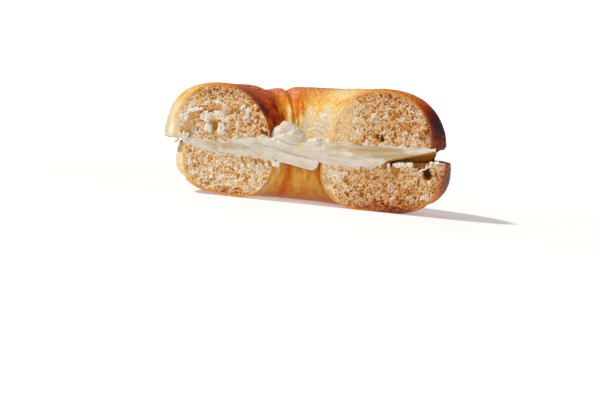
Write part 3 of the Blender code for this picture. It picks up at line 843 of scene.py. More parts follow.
# Small folds that run out from the hole: angle, half width in degrees, and depth.
SMALL_FOLDS = (
    (124.0, 2.0, 0.7),
    (110.5, 1.6, 0.5),
    (96.0, 1.8, 0.45),
    (83.0, 2.4, 0.3),
    (66.0, 2.2, 0.3),
)
FOLD_REACH = (16.0, 30.0)  # how far out from the hole they fade
CUT_ROUND = (0.45, 0.7, 1.4)  # radius of the crust's edge at the cut: right, left, and far left
LOBE = (23.0, 26.0)  # half width and height of a cut end, which that rounding draws in
SEAM_CELLS = 5  # how many cells from a seam its corner is rounded
SEAM_ROUNDS = 12


def browning(x, y, z, kind):
    """How brown the crust is, from 0 for raw dough to 1."""
    hole_x, hole_y, radius = kind.hole
    near_hole = 1.0 - smooth(np.hypot(x - hole_x, y - hole_y), *BAND_REACH)
    angle = np.arctan2(y - hole_y, x - hole_x)
    z = z + TONGUES[1] * noise_at(angle * radius, 0.0 * x, 0.0 * x, TONGUES[0], 3) * near_hole
    brown = painted(BARE_BAKE, (x, y, z), kind.patches) + waves(x, y, z, BAKE_PATCHES, 5)
    for middle, half, more in kind.bands:
        brown = brown + more * blot([np.degrees(angle)], [middle], [half]) * near_hole
    return np.clip(brown, 0.0, 1.0)


def round_cut(data, place, kind):
    """Rounds the crust's edge at the cut: the section draws in as it comes to its end."""
    co = read(data)
    x, y, z = co.T
    end = (place[0] > 0.5).astype(int)
    radius = np.where(end, mix(*CUT_ROUND[1:], smooth(-x, *kind.pulled_in)), CUT_ROUND[0])
    inward = radius * (1.0 - np.sqrt(1.0 - np.clip(1.0 - y / radius, 0.0, 1.0) ** 2))
    middle = np.array([heart[0] for heart in kind.hearts])[end]
    slit = kind.slit_height(x, y)
    co[:, 0] = mix(x, middle, inward / LOBE[0])
    co[:, 2] = mix(z, slit, inward / LOBE[1])
    write(data, co)


def round_seams(data, place, kind):
    """Rounds the corners between the slit face and the crust, at the cut ends too."""
    t, across, up = place
    side = np.minimum(across, 1.0 - across) * kind.cells[0] <= SEAM_CELLS
    corner = side & (np.abs(up - kind.slit_up) * kind.cells[1] <= SEAM_CELLS)
    ends = t * (1.0 - t) == 0.0
    relax(data, corner & ~ends, SEAM_ROUNDS)
    relax(data, corner & ends, SEAM_ROUNDS, "xz")


def crust_relief(data, place, kind, brown):
    """Blisters all over the crust, creases round its dark side and puckers in the hole, which tint it."""
    t, across, up = place
    co = read(data)
    x, y, z = co.T
    inside = smooth(t * (1.0 - t), *ENDS) * (up != kind.slit_up)
    size, length, depth = CREASES
    creases = noise_at(x / length * size, y, z / length * size, size, 2)
    rise = waves(x, y, z, BLISTERS, 6) - depth * np.abs(creases) * smooth(brown, *CREASES_FROM)
    size, length, depth = FLUTES
    hole_x, hole_y, radius = kind.hole
    round_hole = np.arctan2(y - hole_y, x - hole_x) * radius
    away = np.hypot(x - hole_x, y - hole_y)
    run = (round_hole, z / length * size, 0.0 * x)
    flutes = noise_at(*run, size, 8) + FINE_FLUTES[1] * noise_at(*run, FINE_FLUTES[0] * size, 9)
    flutes = flutes * kind.puckered * (1.0 - smooth(away - radius, *FLUTE_REACH))
    tinted = np.clip(brown + FLUTE_TINT * flutes * smooth(brown, *FLUTE_TINTED), 0.0, 1.0)
    folds = sum(fold(shape, x, y, kind.hole) for shape in SMALL_FOLDS)
    folds = folds * (1.0 - smooth(away, *FOLD_REACH)) * smooth(y, 0.0, FLAT_AT_CUT)
    co = co + normals(data) * ((rise + depth * flutes - folds) * inside)[:, None]
    co[:, 2] = np.maximum(co[:, 2], 0.0)
    write(data, co)
    return mix(brown, tinted, inside)


def cut_blend(x, y, z, kind):
    """How far the crust shows its own thickness, next to the cut."""
    return np.exp(-((y / rim_width(x, z, kind)) ** RIM_FADE))


def rim_width(x, z, kind):
    """How far the crust's colour reaches into the crumb."""
    return painted(RIM_REACH, (x, z), kind.rims, 2)


def bread(kind, materials, rng):
    """One of the two pieces of bread, with its crust in the first material and crumb in the second."""
    data, place = swept_mesh(kind.name, kind.cells, RING_START, kind.point, False)
    round_cut(data, place, kind)
    round_seams(data, place, kind)
    t, across, up = place
    brown = browning(*read(data).T, kind)
    brown = crust_relief(data, place, kind, brown)
    open_crumb(data, place, kind, brown, rng)
    faces = corners_of(data)
    cut = (t[faces].max(axis=1) == 0.0) | (t[faces].min(axis=1) == 1.0)
    slit = (up[faces] == kind.slit_up).all(axis=1)
    data.polygons.foreach_set("material_index", np.where(cut | slit, 1, 0))
    return add_piece(kind.name, data, *materials)


# ---- Cream cheese ----

STROKES = (1.0, 14.0, 0.5)  # breadth and length of the knife's strokes, and their depth
BROAD_STROKES = (2.6, 24.0, 1.0)
STROKE_SLOPE = (0.12, -0.0035)  # how steeply they fall to the right, and how that changes along X
CHEESE_PROUD = 0.5  # how far the filling bulges out of the cut
CHEESE_EDGE = 0.7  # over what distance from its edges it does
CHEESE_DEPTH = 0.9  # how deep behind the cut its face still counts as cut
CURDS = ((3.2, 1.1), (1.4, 0.55), (0.6, 0.15))  # sizes and heights of the lumps of the heaps
CURD_LEVEL = (0.55, 0.5)  # the height of a curd that is taken for flat: on the filling, on the heaps
RUFFLED = (21.5, 24.5)  # heights over which the filling's own heaps turn to curds
RUFFLED_HEAP = 2.5  # and how high up the dollop they are full
THIN_UNEVEN = (6.0, 0.7, 0.8)  # how far thin places are drawn out along the cut, size and reach
# Where the knife wiped the filling thin, and where its colour is darkened with painted shade: middle as
# x, z, and half sizes.
WIPED_THIN_AND_SHADED = (((22.0, 24.2), (13.0, 2.6)), ((34.0, 23.6), (9.0, 1.8)), ((-33.0, 20.2), (9.0, 1.5)))
# The lumps of the heaps over the hole: middle, half sizes, tilt in degrees.
HEAPED = (
    ((-9.0, 2.4, 26.2), (6.4, 3.6, 4.0), 0.0),
    ((-11.8, 1.8, 28.2), (3.3, 2.6, 2.5), 25.0),
    ((-9.4, 1.6, 30.1), (2.7, 2.3, 2.0), -10.0),
    ((-6.6, 1.8, 28.9), (2.6, 2.3, 2.5), -40.0),
    ((-4.6, 2.2, 25.9), (2.2, 2.4, 3.0), -15.0),
    ((-1.2, 2.8, 23.6), (2.4, 2.4, 1.6), 0.0),
    ((0.8, 2.0, 24.2), (2.4, 2.0, 2.1), 10.0),
    ((3.2, 1.8, 25.0), (2.8, 2.1, 2.2), -5.0),
    ((5.9, 1.5, 24.0), (2.0, 1.7, 1.9), 0.0),
    ((8.0, 1.0, 24.8), (1.2, 1.1, 2.4), 15.0),
)
CURDLED = (24.4, 28.0)  # heights between which the strokes on the heaps give way to curds
CURDLED_HIGHER = (-2.0, -9.0, 0.25)  # right of the first x higher: so much for each mm from the second
HEAP_STROKES = (0.9, 7.0, 0.35)
# Painted shade, yellowish, in the valley beside the dollop, where it overhangs the filling.
VALLEY_SHADE = ((-2.9, 23.6), (1.1, 2.0))  # middle as x, z, and half sizes
VALLEY_SHADE_UNEVEN = (1.2, 0.9)


def curd_height(x, y, z, size):
    """Rounded lumps, as soft curds have, from 0 between them to 1 on top."""
    points = (np.stack([x, y, z], axis=1) / size).tolist()
    return np.array([1.0 - min(noise.voronoi(point)[0][0], 1.0) for point in points])


def curds(data, x, y, z, level):
    """How far soft lumps stand out from a surface, and which way it faces."""
    rise = sum(height * (curd_height(x, y, z, size) - level) for size, height in CURDS)
    return rise, normals(data)


def strokes_at(x, y, along_knife, layer, turn):
    """The knife's strokes: noise drawn out along the way it went."""
    size, length, depth = layer
    return depth * noise_at(x / length * size, y / length * size, along_knife, size, turn)


def cheese_relief(data, place):
    """Rounds the face of the filling, draws the knife's strokes over it and ruffles its heaps."""
    t, out, up = place
    co = read(data)
    x, y, z = co.T
    cells = np.round(np.stack([t * FILLING_CELLS[2], out * FILLING_CELLS[0]]))
    column = np.unique(cells, axis=1, return_inverse=True)[1].ravel()
    low = np.full(column.max() + 1, np.inf)
    high = -low
    np.minimum.at(low, column, z)
    np.maximum.at(high, column, z)
    edge = np.minimum(z - low[column], high[column] - z)
    round_off = 1.0 - np.exp(-edge / CHEESE_EDGE)
    along_knife = z + STROKE_SLOPE[0] * x + STROKE_SLOPE[1] * x * x
    front = 1.0 - smooth(y, 0.0, CHEESE_DEPTH)
    face = CHEESE_PROUD
    for turn, layer in enumerate((STROKES, BROAD_STROKES)):
        face = face + strokes_at(x, 0.0 * x, along_knife, layer, turn + 1)
    heaps = heap(DOLLOP, x, y) / RUFFLED_HEAP + heap(PEAK, x, y)
    free = np.clip(heaps, 0.0, 1.0) * smooth(z, *RUFFLED)
    ruffle, push = curds(data, x, y, z, CURD_LEVEL[0])
    co[:, 1] -= face * front * round_off
    write(data, co + push * (ruffle * free)[:, None])
    stretch, size, uneven = THIN_UNEVEN
    # The thin places darken the filling's colour: partly the bread showing through, partly painted shade.
    thin = 1.0 + uneven * noise_at(x / stretch, co[:, 1], along_knife, size, 30)
    thin = thin * front * sum(blot((x, z), middle, half) for middle, half in WIPED_THIN_AND_SHADED)
    add_values(data, "thin", thin)
    add_values(data, "valley_shade", painted_valley_shade(data))


def painted_valley_shade(data):
    """How far the filling is tinted yellow with painted shade, in the valley beside the dollop."""
    x, y, z = read(data).T
    size, ragged = VALLEY_SHADE_UNEVEN
    return blot((x, z), *VALLEY_SHADE) * np.clip(1.0 + ragged * noise_at(x, y, z, size, 33), 0.0, 1.0)


def heaped_cheese(name, material):
    """The dollop and the ridge beside it: lumps run together, curdled on top and cut smooth below."""
    shapes = []
    for middle, half, tilt in HEAPED:
        turn = Matrix.Rotation(math.radians(-tilt), 4, "Y")
        shapes.append(Matrix.Translation(middle) @ turn @ Matrix.Diagonal((*half, 1.0)))
    data = fused_lumps(name, shapes, HEAP_VOXEL)
    co = read(data)
    x, y, z = co.T
    from_x, middle_x, higher = CURDLED_HIGHER
    curdled = smooth(z - higher * np.abs(x - middle_x) * (x > from_x), *CURDLED)
    strokes = strokes_at(x, y, z + STROKE_SLOPE[0] * x, HEAP_STROKES, 31)
    rise, push = curds(data, x, y, z, CURD_LEVEL[1])
    write(data, co + push * mix(strokes, rise, curdled)[:, None])
    add_values(data, "valley_shade", painted_valley_shade(data))
    return add_piece(name, data, material)


def filling(name, material):
    data, place = swept_mesh(name, FILLING_CELLS, 0.0, filling_point, True)
    cheese_relief(data, place)
    return add_piece(name, data, material)


# ---- Dabs of filling and torn crumb ----

# Patches on the cut, each filled at random with small balls that run together: middle as x, z, half
# sizes, tilt in degrees, how many balls, and their least and largest radius.
CHEESE_PATCHES = (
    ((-50.7, 29.6), (1.4, 1.4), 0.0, 14, (0.8, 1.2)),
    ((-40.6, 26.2), (1.0, 1.2), 0.0, 12, (0.8, 1.2)),
    ((-41.2, 28.8), (0.3, 0.9), 8.0, 7, (0.6, 0.8)),
    ((-50.3, 22.4), (1.6, 1.8), -30.0, 12, (0.5, 1.0)),
    ((-52.8, 20.0), (1.4, 0.5), 25.0, 7, (0.3, 0.6)),
    ((48.0, 26.4), (1.5, 0.3), 14.0, 9, (0.3, 0.55)),
    ((29.8, 20.0), (1.0, 1.0), 0.0, 9, (0.4, 0.7)),
    ((-17.0, 25.2), (2.4, 0.4), -8.0, 8, (0.3, 0.5)),
    ((-30.0, 22.6), (3.0, 0.4), -8.0, 8, (0.25, 0.4)),
)
CRUMB_PATCHES = (
    ((-46.0, 33.5), (2.7, 0.7), 14.0, 28, (0.35, 0.7)),
    ((-42.0, 31.0), (1.9, 2.0), 0.0, 34, (0.4, 0.75)),
    ((-36.0, 31.4), (3.6, 1.3), -24.0, 50, (0.4, 0.7)),
    ((-35.4, 26.3), (1.3, 2.4), 8.0, 30, (0.4, 0.75)),
    ((-26.6, 35.2), (2.4, 1.3), -35.0, 26, (0.3, 0.6)),
    ((-22.8, 31.6), (1.6, 0.5), -48.0, 9, (0.25, 0.45)),
    ((-12.2, 15.0), (1.5, 0.8), 0.0, 18, (0.4, 0.8)),
    ((-14.0, 16.4), (1.2, 0.4), 0.0, 8, (0.3, 0.5)),
    ((32.6, 19.0), (0.4, 0.8), 0.0, 8, (0.3, 0.6)),
    ((37.2, 19.7), (2.6, 0.6), 4.0, 34, (0.4, 0.8)),
    ((41.0, 20.4), (1.3, 0.5), 0.0, 14, (0.4, 0.75)),
    ((51.4, 21.9), (2.4, 0.3), 5.0, 22, (0.25, 0.5)),
)
PATCH_DEPTH = (0.1, 0.6)  # how far behind the cut the balls' middles lie
# Strands of crumb, each a bent thread: its points as x, y, z, and its half thickness.
STRANDS = (
    ((-48.6, 0.6, 28.4), (-46.4, 0.2, 28.9), (-44.0, 0.4, 30.2), 0.16),
    ((-48.6, 1.2, 27.4), (-46.2, 0.8, 28.4), (-43.8, 0.8, 29.2), 0.12),
    ((44.9, 0.4, 17.6), (46.2, 0.1, 18.5), (47.6, 0.1, 19.2), (49.6, 0.2, 20.4), 0.42),
    ((47.3, 0.2, 19.2), (47.6, 0.1, 20.6), 0.25),
)
LUMP_DIVISIONS = 3  # how often the faces of each ball are divided
HEAP_VOXEL = 0.22  # the fineness at which lumps are run together
PATCH_VOXEL = 0.15
CHEESE_WAVES = ((1.4, 0.3), (0.5, 0.1))
CRUMB_WAVES = ((0.9, 0.25), (0.4, 0.12))


def fused_lumps(name, shapes, voxel):
    """The mesh of lumps run together. Each shape is a matrix that a ball of radius 1 takes."""
    mesh = bmesh.new()
    for shape in shapes:
        bmesh.ops.create_icosphere(mesh, subdivisions=LUMP_DIVISIONS, radius=1.0, matrix=shape)
    obj = add_piece(name, mesh_data(name + "_apart", mesh))
    fuse = obj.modifiers.new("fuse", "REMESH")
    fuse.mode = "VOXEL"
    fuse.voxel_size = voxel
    data = bpy.data.meshes.new_from_object(obj.evaluated_get(bpy.context.evaluated_depsgraph_get()))
    apart = obj.data
    bpy.data.objects.remove(obj)
    bpy.data.meshes.remove(apart)
    data.name = name
    return data


def ball_shapes(patches, rng):
    """The balls that fill patches on the cut."""
    shapes = []
    for (x, z), half, tilt, count, sizes in patches:
        turn = Matrix.Rotation(math.radians(-tilt), 4, "Y")
        for _ in range(count):
            angle = rng.uniform(0.0, 2.0 * math.pi)
            far = rng.uniform() ** 0.5
            depth = rng.uniform(*PATCH_DEPTH)
            spot = Vector((half[0] * far * math.cos(angle), depth, half[1] * far * math.sin(angle)))
            place = Matrix.Translation(turn @ spot + Vector((x, 0.0, z)))
            shapes.append(place @ Matrix.Scale(rng.uniform(*sizes), 4))
    return shapes


def strand_shapes():
    """The stretches of the strands, each as long and thin as its matrix makes a ball."""
    shapes = []
    for *path, half in STRANDS:
        for start, end in zip(path, path[1:]):
            run = Vector(end) - Vector(start)
            turn = run.to_track_quat("X", "Z").to_matrix().to_4x4()
            size = Matrix.Diagonal((run.length / 2.0 + half, half, half, 1.0))
            shapes.append(Matrix.Translation((Vector(start) + Vector(end)) / 2.0) @ turn @ size)
    return shapes


def rough_lumps(name, shapes, material, layers):
    """Lumps run together, with a rough surface."""
    data = fused_lumps(name, shapes, PATCH_VOXEL)
    co = read(data)
    write(data, co + normals(data) * waves(*co.T, layers, 15)[:, None])
    for layer in CRUMB_LAYERS:
        add_values(data, layer, np.zeros(len(co)))
    return add_piece(name, data, material)


# ---- The browned lip inside the gap at the right, darkened inwards by painted shade ----

GAP_SIDES = (29.2, 51.4)
GAP_DEPTHS = (0.9, 20.0)
GAP_CELLS = (60, 40)
GAP_SKIN = 0.5  # its thickness, most of it sunk into the filling
GAP_PROUD = 0.12
GAP_WAVES = ((1.3, 0.25), (0.5, 0.12))
GAP_TROUGH = -0.1
GAP_SHADE_TONES = (0.45, 1.0)  # golden at the cut, darkened inside as painted shade
# The depths behind the cut over which that painted shade deepens, in mm.
GAP_SHADED = (0.5, 12.0)
GAP_TOAST = 0.5


def browned_lip(name, material):
    """A thin skin of browned bread that shows inside the gap, under the filling: partly toasted bread,
    partly painted shade that darkens it inwards.
    """
    mesh = bmesh.new()
    bmesh.ops.create_grid(mesh, x_segments=GAP_CELLS[0], y_segments=GAP_CELLS[1], size=0.5)
    x, y = (np.array([vert.co[axis] for vert in mesh.verts]) + 0.5 for axis in (0, 1))
    x, y = mix(*GAP_SIDES, x), mix(*GAP_DEPTHS, y)
    ragged = sum(waves(x, y, 0.0 * x, [layer], 16 + turn) for turn, layer in enumerate(GAP_WAVES))
    z = over_gap(x, y, bed_height(x, y), sole_height(x, y)) - GAP_PROUD - np.maximum(ragged, GAP_TROUGH)
    for vert, place in zip(mesh.verts, np.stack([x, y, z], axis=1)):
        vert.co = place
    bmesh.ops.solidify(mesh, geom=mesh.faces[:], thickness=GAP_SKIN)
    bmesh.ops.recalc_face_normals(mesh, faces=mesh.faces)
    data = mesh_data(name, mesh)
    values = dict.fromkeys(CRUMB_LAYERS, 0.0)
    values["hollow"] = mix(*GAP_SHADE_TONES, smooth(read(data)[:, 1], *GAP_SHADED))
    values["toast"] = GAP_TOAST
    for layer, value in values.items():
        add_values(data, layer, np.broadcast_to(value, len(data.vertices)))
    return add_piece(name, data, material)


# ---- Materials ----


def linear(colour):
    """An sRGB hex colour as linear red, green, blue and alpha."""
    parts = [int(colour[i : i + 2], 16) / 255.0 for i in (1, 3, 5)]
    return (*(c / 12.92 if c <= 0.04045 else ((c + 0.055) / 1.055) ** 2.4 for c in parts), 1.0)


def add_node(tree, kind, inputs, output=0, stops=(), **settings):
    """Adds a shader node with its settings, inputs and links, and a ramp's colours; gives one output."""
    node = tree.nodes.new("ShaderNode" + kind)
    for key, value in settings.items():
        setattr(node, key, value)
    for key, value in inputs.items():
        if isinstance(value, bpy.types.NodeSocket):
            tree.links.new(value, node.inputs[key])
        else:
            node.inputs[key].default_value = value
    for index, (place, colour) in enumerate(stops):
        if index >= len(node.color_ramp.elements):
            node.color_ramp.elements.new(place)
        node.color_ramp.elements[index].position = place
        node.color_ramp.elements[index].color = linear(colour)
    return node.outputs[output]


def new_material(name, constants):
    """A material of one Principled shader, with the values that are the same all over it."""
    material = bpy.data.materials.new(name)
    material.use_nodes = True
    tree = material.node_tree
    shader = tree.nodes["Principled BSDF"]
    for key, value in constants.items():
        shader.inputs[key].default_value = value
    return material, shader, partial(add_node, tree), tree.links.new


def per_mm(size):
    """The scale of a pattern on Object coordinates, which are in metres, from its size in millimetres."""
    return 1.0 / (size * MM)


# The inputs of a Mix node that take two colours.
FIRST, SECOND = 6, 7

FRECKLE_SIZE = 1.5
FRECKLES = 0.24  # how much browner or paler they are
BLISTER_SIZES = (1.6, 3.4)  # wider apart than the real skin's finest, which would not show
SHEEN_SIZE = 0.8  # patches of the skin that are glossier or duller, and how much
SHEEN_RANGE = {"From Min": 0.42, "From Max": 0.62, "To Min": 0.25, "To Max": 0.5}
CRUST_BUMP = 0.0009
CREASE_SIZE = 0.8  # between the fine creases that run round the darkest crust, beside the cut
CREASE_STRETCH = (0.1, 1.0, 0.1)
CREASED = {"From Min": 0.7, "From Max": 0.9}  # how brown the crust is where they start and are deepest


def boiled_baked_crust():
    """Bagel crust, boiled and then baked: thin, taut and satin, brown where the oven reached it.

    The eye sees a skin with small blisters that break the highlight into flecks, freckles where it
    browned unevenly, and its own pale thickness along the cut."""
    constants = {
        "IOR": 1.45,
        "Specular IOR Level": 0.08,
        "Coat Weight": 0.3,
        "Coat Roughness": 0.15,
        "Subsurface Weight": 0.08,
        "Subsurface Radius": (0.004, 0.0018, 0.0008),
        "Subsurface Scale": 0.4,
    }
    material, shader, node, link = new_material("boiled_baked_crust", constants)
    where = node("TexCoord", {}, "Object")
    bake, rim = (node("Attribute", {}, "Fac", attribute_name=name) for name in ("bake", "rim"))
    freckles = node("TexNoise", {"Vector": where, "Scale": per_mm(FRECKLE_SIZE), "Detail": 4.0})
    uneven = node("Math", {0: freckles, 1: FRECKLES, 2: FRECKLES / -2.0}, operation="MULTIPLY_ADD")
    brown = node("Math", {0: bake, 1: uneven}, operation="ADD")
    ramps = (BAKE_COLOURS, RIM_COLOURS)
    skin, thickness = (node("ValToRGB", {"Fac": brown}, stops=ramp) for ramp in ramps)
    colour = node("Mix", {"Factor": rim, FIRST: skin, SECOND: thickness}, 2, data_type="RGBA")
    link(colour, shader.inputs["Base Color"])
    patches = node("TexNoise", {"Vector": where, "Scale": per_mm(SHEEN_SIZE)})
    link(node("MapRange", {"Value": patches, **SHEEN_RANGE}), shader.inputs["Roughness"])
    small, large = (
        node("TexNoise", {"Vector": where, "Scale": per_mm(size), "Detail": 2.0})
        for size in BLISTER_SIZES
    )
    blisters = node("Math", {0: small, 1: large}, operation="ADD")
    along = node("Mapping", {"Vector": where, "Scale": CREASE_STRETCH})
    creases = node("TexNoise", {"Vector": along, "Scale": per_mm(CREASE_SIZE)})
    creased = node("MapRange", {"Value": bake, **CREASED})
    height = node("Math", {0: creases, 1: creased, 2: blisters}, operation="MULTIPLY_ADD")
    bump = node("Bump", {"Height": height, "Strength": 1.0, "Distance": CRUST_BUMP})
    for socket in ("Normal", "Coat Normal"):
        link(bump, shader.inputs[socket])
    return material


CELL_SIZE = 0.75  # the crumb's finest cells, drawn a little coarser than they are so that they show
CELL_DRAWN_OUT = (0.62, 1.0, 1.0)
CELL_TILT = math.radians(28.0)  # they rise to the right, as the dough was stretched
CELL_SWAY = (1.1, 0.9)  # size and reach of the bends in their walls, in millimetres
# Painted shade in the finest cells: darker towards their middles, away from their walls.
CELL_FLOOR_SHADE = {"From Min": 0.04, "From Max": 0.28, "To Min": -0.12, "To Max": 0.12}
CRUMB_BUMP = 0.0003
TOAST_DEPTH = 1.4  # how far toasting darkens the cells, and a pale place, below 0, lightens them
CAVITY_OPENS = {"From Min": 0.0, "From Max": 0.4}


def cut_crumb():
    """Wheat bread crumb, cut with a knife: a foam of thin, slightly shiny walls round open cells.

    The eye sees pale cut edges over honey-coloured hollows, and a toasted tint that fades inwards from
    the crust. The hollows darken with depth, and the deep holes are dark, as painted shade."""
    constants = {
        "Roughness": 0.55,
        "IOR": 1.4,
        "Specular IOR Level": 0.35,
        "Subsurface Weight": 0.06,
        "Subsurface Radius": (0.0025, 0.0014, 0.0007),
        "Subsurface Scale": 0.3,
    }
    material, shader, node, link = new_material("cut_wheat_crumb", constants)
    where = node("TexCoord", {}, "Object")
    pore_shade, hollow, rim, smear, toast, bake = (
        node("Attribute", {}, "Fac", attribute_name=name) for name in CRUMB_LAYERS
    )
    tilted = node("Mapping", {"Vector": where, "Rotation": (0.0, CELL_TILT, 0.0)})
    drawn = node("Mapping", {"Vector": tilted, "Scale": CELL_DRAWN_OUT})
    sway = node("TexNoise", {"Vector": where, "Scale": per_mm(CELL_SWAY[0])}, "Color")
    bent = node("VectorMath", {0: sway, 1: (CELL_SWAY[1] * MM,) * 3, 2: drawn}, operation="MULTIPLY_ADD")
    cells = node("TexVoronoi", {"Vector": bent, "Scale": per_mm(CELL_SIZE)}, feature="DISTANCE_TO_EDGE")
    # Painted shade: the cells' floors and the pore depth darken the crumb through its ramp; the same
    # depth makes its bumps.
    floor = node("MapRange", {"Value": cells, **CELL_FLOOR_SHADE}, interpolation_type="SMOOTHSTEP")
    deepened = node("Math", {0: toast, 1: TOAST_DEPTH, 2: 1.0}, operation="MULTIPLY_ADD")
    depth = node("Math", {0: pore_shade, 1: deepened, 2: floor}, operation="MULTIPLY_ADD")
    opened = node("MapRange", {"Value": hollow, **CAVITY_OPENS}, interpolation_type="SMOOTHSTEP")
    body, skin, inside = (
        node("ValToRGB", {"Fac": share}, stops=ramp)
        for share, ramp in ((depth, CRUMB_SHADE_COLOURS), (bake, RIM_COLOURS), (hollow, CAVITY_LIGHT_AND_SHADE_COLOURS))
    )
    # Each is laid over the crumb in turn: toasting, the crust, the inside of a cavity, smeared filling.
    layers = (
        (toast, linear(TOASTED_COLOUR), "MULTIPLY"),
        (rim, skin, "MIX"),
        (opened, inside, "MIX"),
        (smear, linear(CHEESE_COLOUR), "MIX"),
    )
    for share, colour, blend in layers:
        laid = {"Factor": share, FIRST: body, SECOND: colour}
        body = node("Mix", laid, 2, data_type="RGBA", blend_type=blend)
    link(body, shader.inputs["Base Color"])
    height = node("Math", {0: depth, 1: -1.0}, operation="MULTIPLY")
    bump = node("Bump", {"Height": height, "Strength": 0.7, "Distance": CRUMB_BUMP})
    link(bump, shader.inputs["Normal"])
    return material


THIN_SHADE = 0.6  # how far the filling darkens where it is thin: the bread showing through, and painted shade
STROKE_SIZE = 0.45  # the knife's finest strokes, how far drawn out, and which way
STROKE_STRETCH = (0.07, 1.0, 1.0)
STROKE_TILT = math.radians(8.0)
CLOUD_SIZE = 4.0
# How strongly the strokes, clouds and thin places paint shade onto the filling.
SHADED = {"From Min": 0.9, "From Max": 1.6}
CHEESE_BUMP = 0.0004


def spread_cream_cheese():
    """Cream cheese, spread with a knife: dense, moist and slightly see-through at thin edges.

    The eye sees a soft satin sheen that follows the strokes, and warm ivory in the hollows; here that
    ivory is painted shade, laid along the strokes and in broad clouds."""
    constants = {
        "Roughness": 0.42,
        "IOR": 1.42,
        "Subsurface Weight": 0.25,
        "Subsurface Radius": (0.004, 0.003, 0.002),
        "Subsurface Scale": 0.4,
    }
    material, shader, node, link = new_material("spread_cream_cheese", constants)
    where = node("TexCoord", {}, "Object")
    thin, valley_shade = (node("Attribute", {}, "Fac", attribute_name=name) for name in ("thin", "valley_shade"))
    tilted = node("Mapping", {"Vector": where, "Rotation": (0.0, STROKE_TILT, 0.0)})
    drawn = node("Mapping", {"Vector": tilted, "Scale": STROKE_STRETCH})
    strokes = node("TexNoise", {"Vector": drawn, "Scale": per_mm(STROKE_SIZE), "Detail": 3.0})
    clouds = node("TexNoise", {"Vector": where, "Scale": per_mm(CLOUD_SIZE)})
    # Painted shade: the strokes, broad clouds and the thin places mix the filling towards its shaded
    # colour.
    uneven = node("Math", {0: strokes, 1: clouds}, operation="ADD")
    uneven = node("Math", {0: thin, 1: THIN_SHADE, 2: uneven}, operation="MULTIPLY_ADD")
    shade = node("MapRange", {"Value": uneven, **SHADED}, interpolation_type="SMOOTHSTEP")
    body = linear(CHEESE_COLOUR)
    # Then the yellowish painted shade in the valley beside the dollop.
    for share, colour in ((shade, CHEESE_PAINTED_SHADE), (valley_shade, VALLEY_SHADE_COLOUR)):
        body = node("Mix", {"Factor": share, FIRST: body, SECOND: linear(colour)}, 2, data_type="RGBA")
    link(body, shader.inputs["Base Color"])
    bump = node("Bump", {"Height": strokes, "Strength": 0.5, "Distance": CHEESE_BUMP})
    link(bump, shader.inputs["Normal"])
    return material


FLOOR_FADE = {"From Min": 0.12, "From Max": 0.45, "To Min": 0.3}  # into the white room, over metres


def painted_floor():
    """A matt white painted board, which fades into the white round it."""
    constants = {"Base Color": linear(FLOOR_COLOUR), "Roughness": 0.8, "Specular IOR Level": 0.2}
    material, shader, node, link = new_material("matt_painted_board", constants)
    far = node("VectorMath", {0: node("TexCoord", {}, "Object")}, "Value", operation="LENGTH")
    fade = node("MapRange", {"Value": far, **FLOOR_FADE}, interpolation_type="SMOOTHSTEP")
    glow = node("Emission", {"Color": ROOM_TINT, "Strength": BACKDROP})
    both = node("MixShader", {0: fade, 1: shader.outputs[0], 2: glow})
    link(both, material.node_tree.nodes["Material Output"].inputs["Surface"])
    return material


# ---- Room, light and camera ----

FLOOR_RADIUS = 4.0
FLOOR_SIDES = 96
BACKDROP = 1.15  # brightness of the white round the table
SKY = {"From Min": 0.05, "From Max": 0.4, "To Min": 0.36, "To Max": 0.22}  # from the horizon upwards
ROOM_TINT = (1.0, 0.985, 0.965, 1.0)
LIGHT_TINT = (1.0, 0.985, 0.96)
# Each light: elevation, degrees from straight in front of the cut towards its left, strength, softness.
LIGHTS = {
    "key": (48.0, 81.0, 3.0, 4.0),
    "fill": (6.0, -4.0, 1.0, 20.0),
    "sheen": (33.0, 160.0, 0.34, 28.0),
}
LENS = 135.0
SENSOR = 36.0
CAMERA_FAR = 0.9
CAMERA_NEAREST = 0.05
CAMERA_ELEVATION = math.radians(2.0)
CAMERA_ROLL = math.radians(6.0)  # the bagel leans by this in the photograph, and stands level here
TARGET = (0.0, -0.0335, 0.0226)  # on the cut, in the hole between the two lobes
TARGET_PIXEL = (308.0, 148.0)  # where the photograph shows it
PICTURE = (600.0, 400.0)


def add_room():
    mesh = bmesh.new()
    bmesh.ops.create_circle(mesh, cap_ends=True, segments=FLOOR_SIDES, radius=FLOOR_RADIUS)
    add_piece("floor", mesh_data("floor", mesh), painted_floor())
    world = bpy.data.worlds.new("white_room")
    bpy.context.scene.world = world
    world.use_nodes = True
    node = partial(add_node, world.node_tree)
    up = node("SeparateXYZ", {"Vector": node("TexCoord", {}, "Generated")}, "Z")
    seen = node("LightPath", {}, "Is Camera Ray")
    strength = node("Mix", {"Factor": seen, "A": node("MapRange", {"Value": up, **SKY}), "B": BACKDROP})
    background = world.node_tree.nodes["Background"]
    world.node_tree.links.new(strength, background.inputs["Strength"])
    background.inputs["Color"].default_value = ROOM_TINT


def add_sun(name, elevation, from_front, strength, softness):
    light = bpy.data.lights.new(name, "SUN")
    light.energy = strength
    light.angle = math.radians(softness)
    light.color = LIGHT_TINT
    obj = bpy.data.objects.new(name, light)
    bpy.context.scene.collection.objects.link(obj)
    height, side = math.radians(elevation), math.radians(from_front)
    level = math.cos(height)
    back = Vector((-level * math.sin(side), -level * math.cos(side), math.sin(height)))
    obj.rotation_euler = back.to_track_quat("Z", "Y").to_euler()


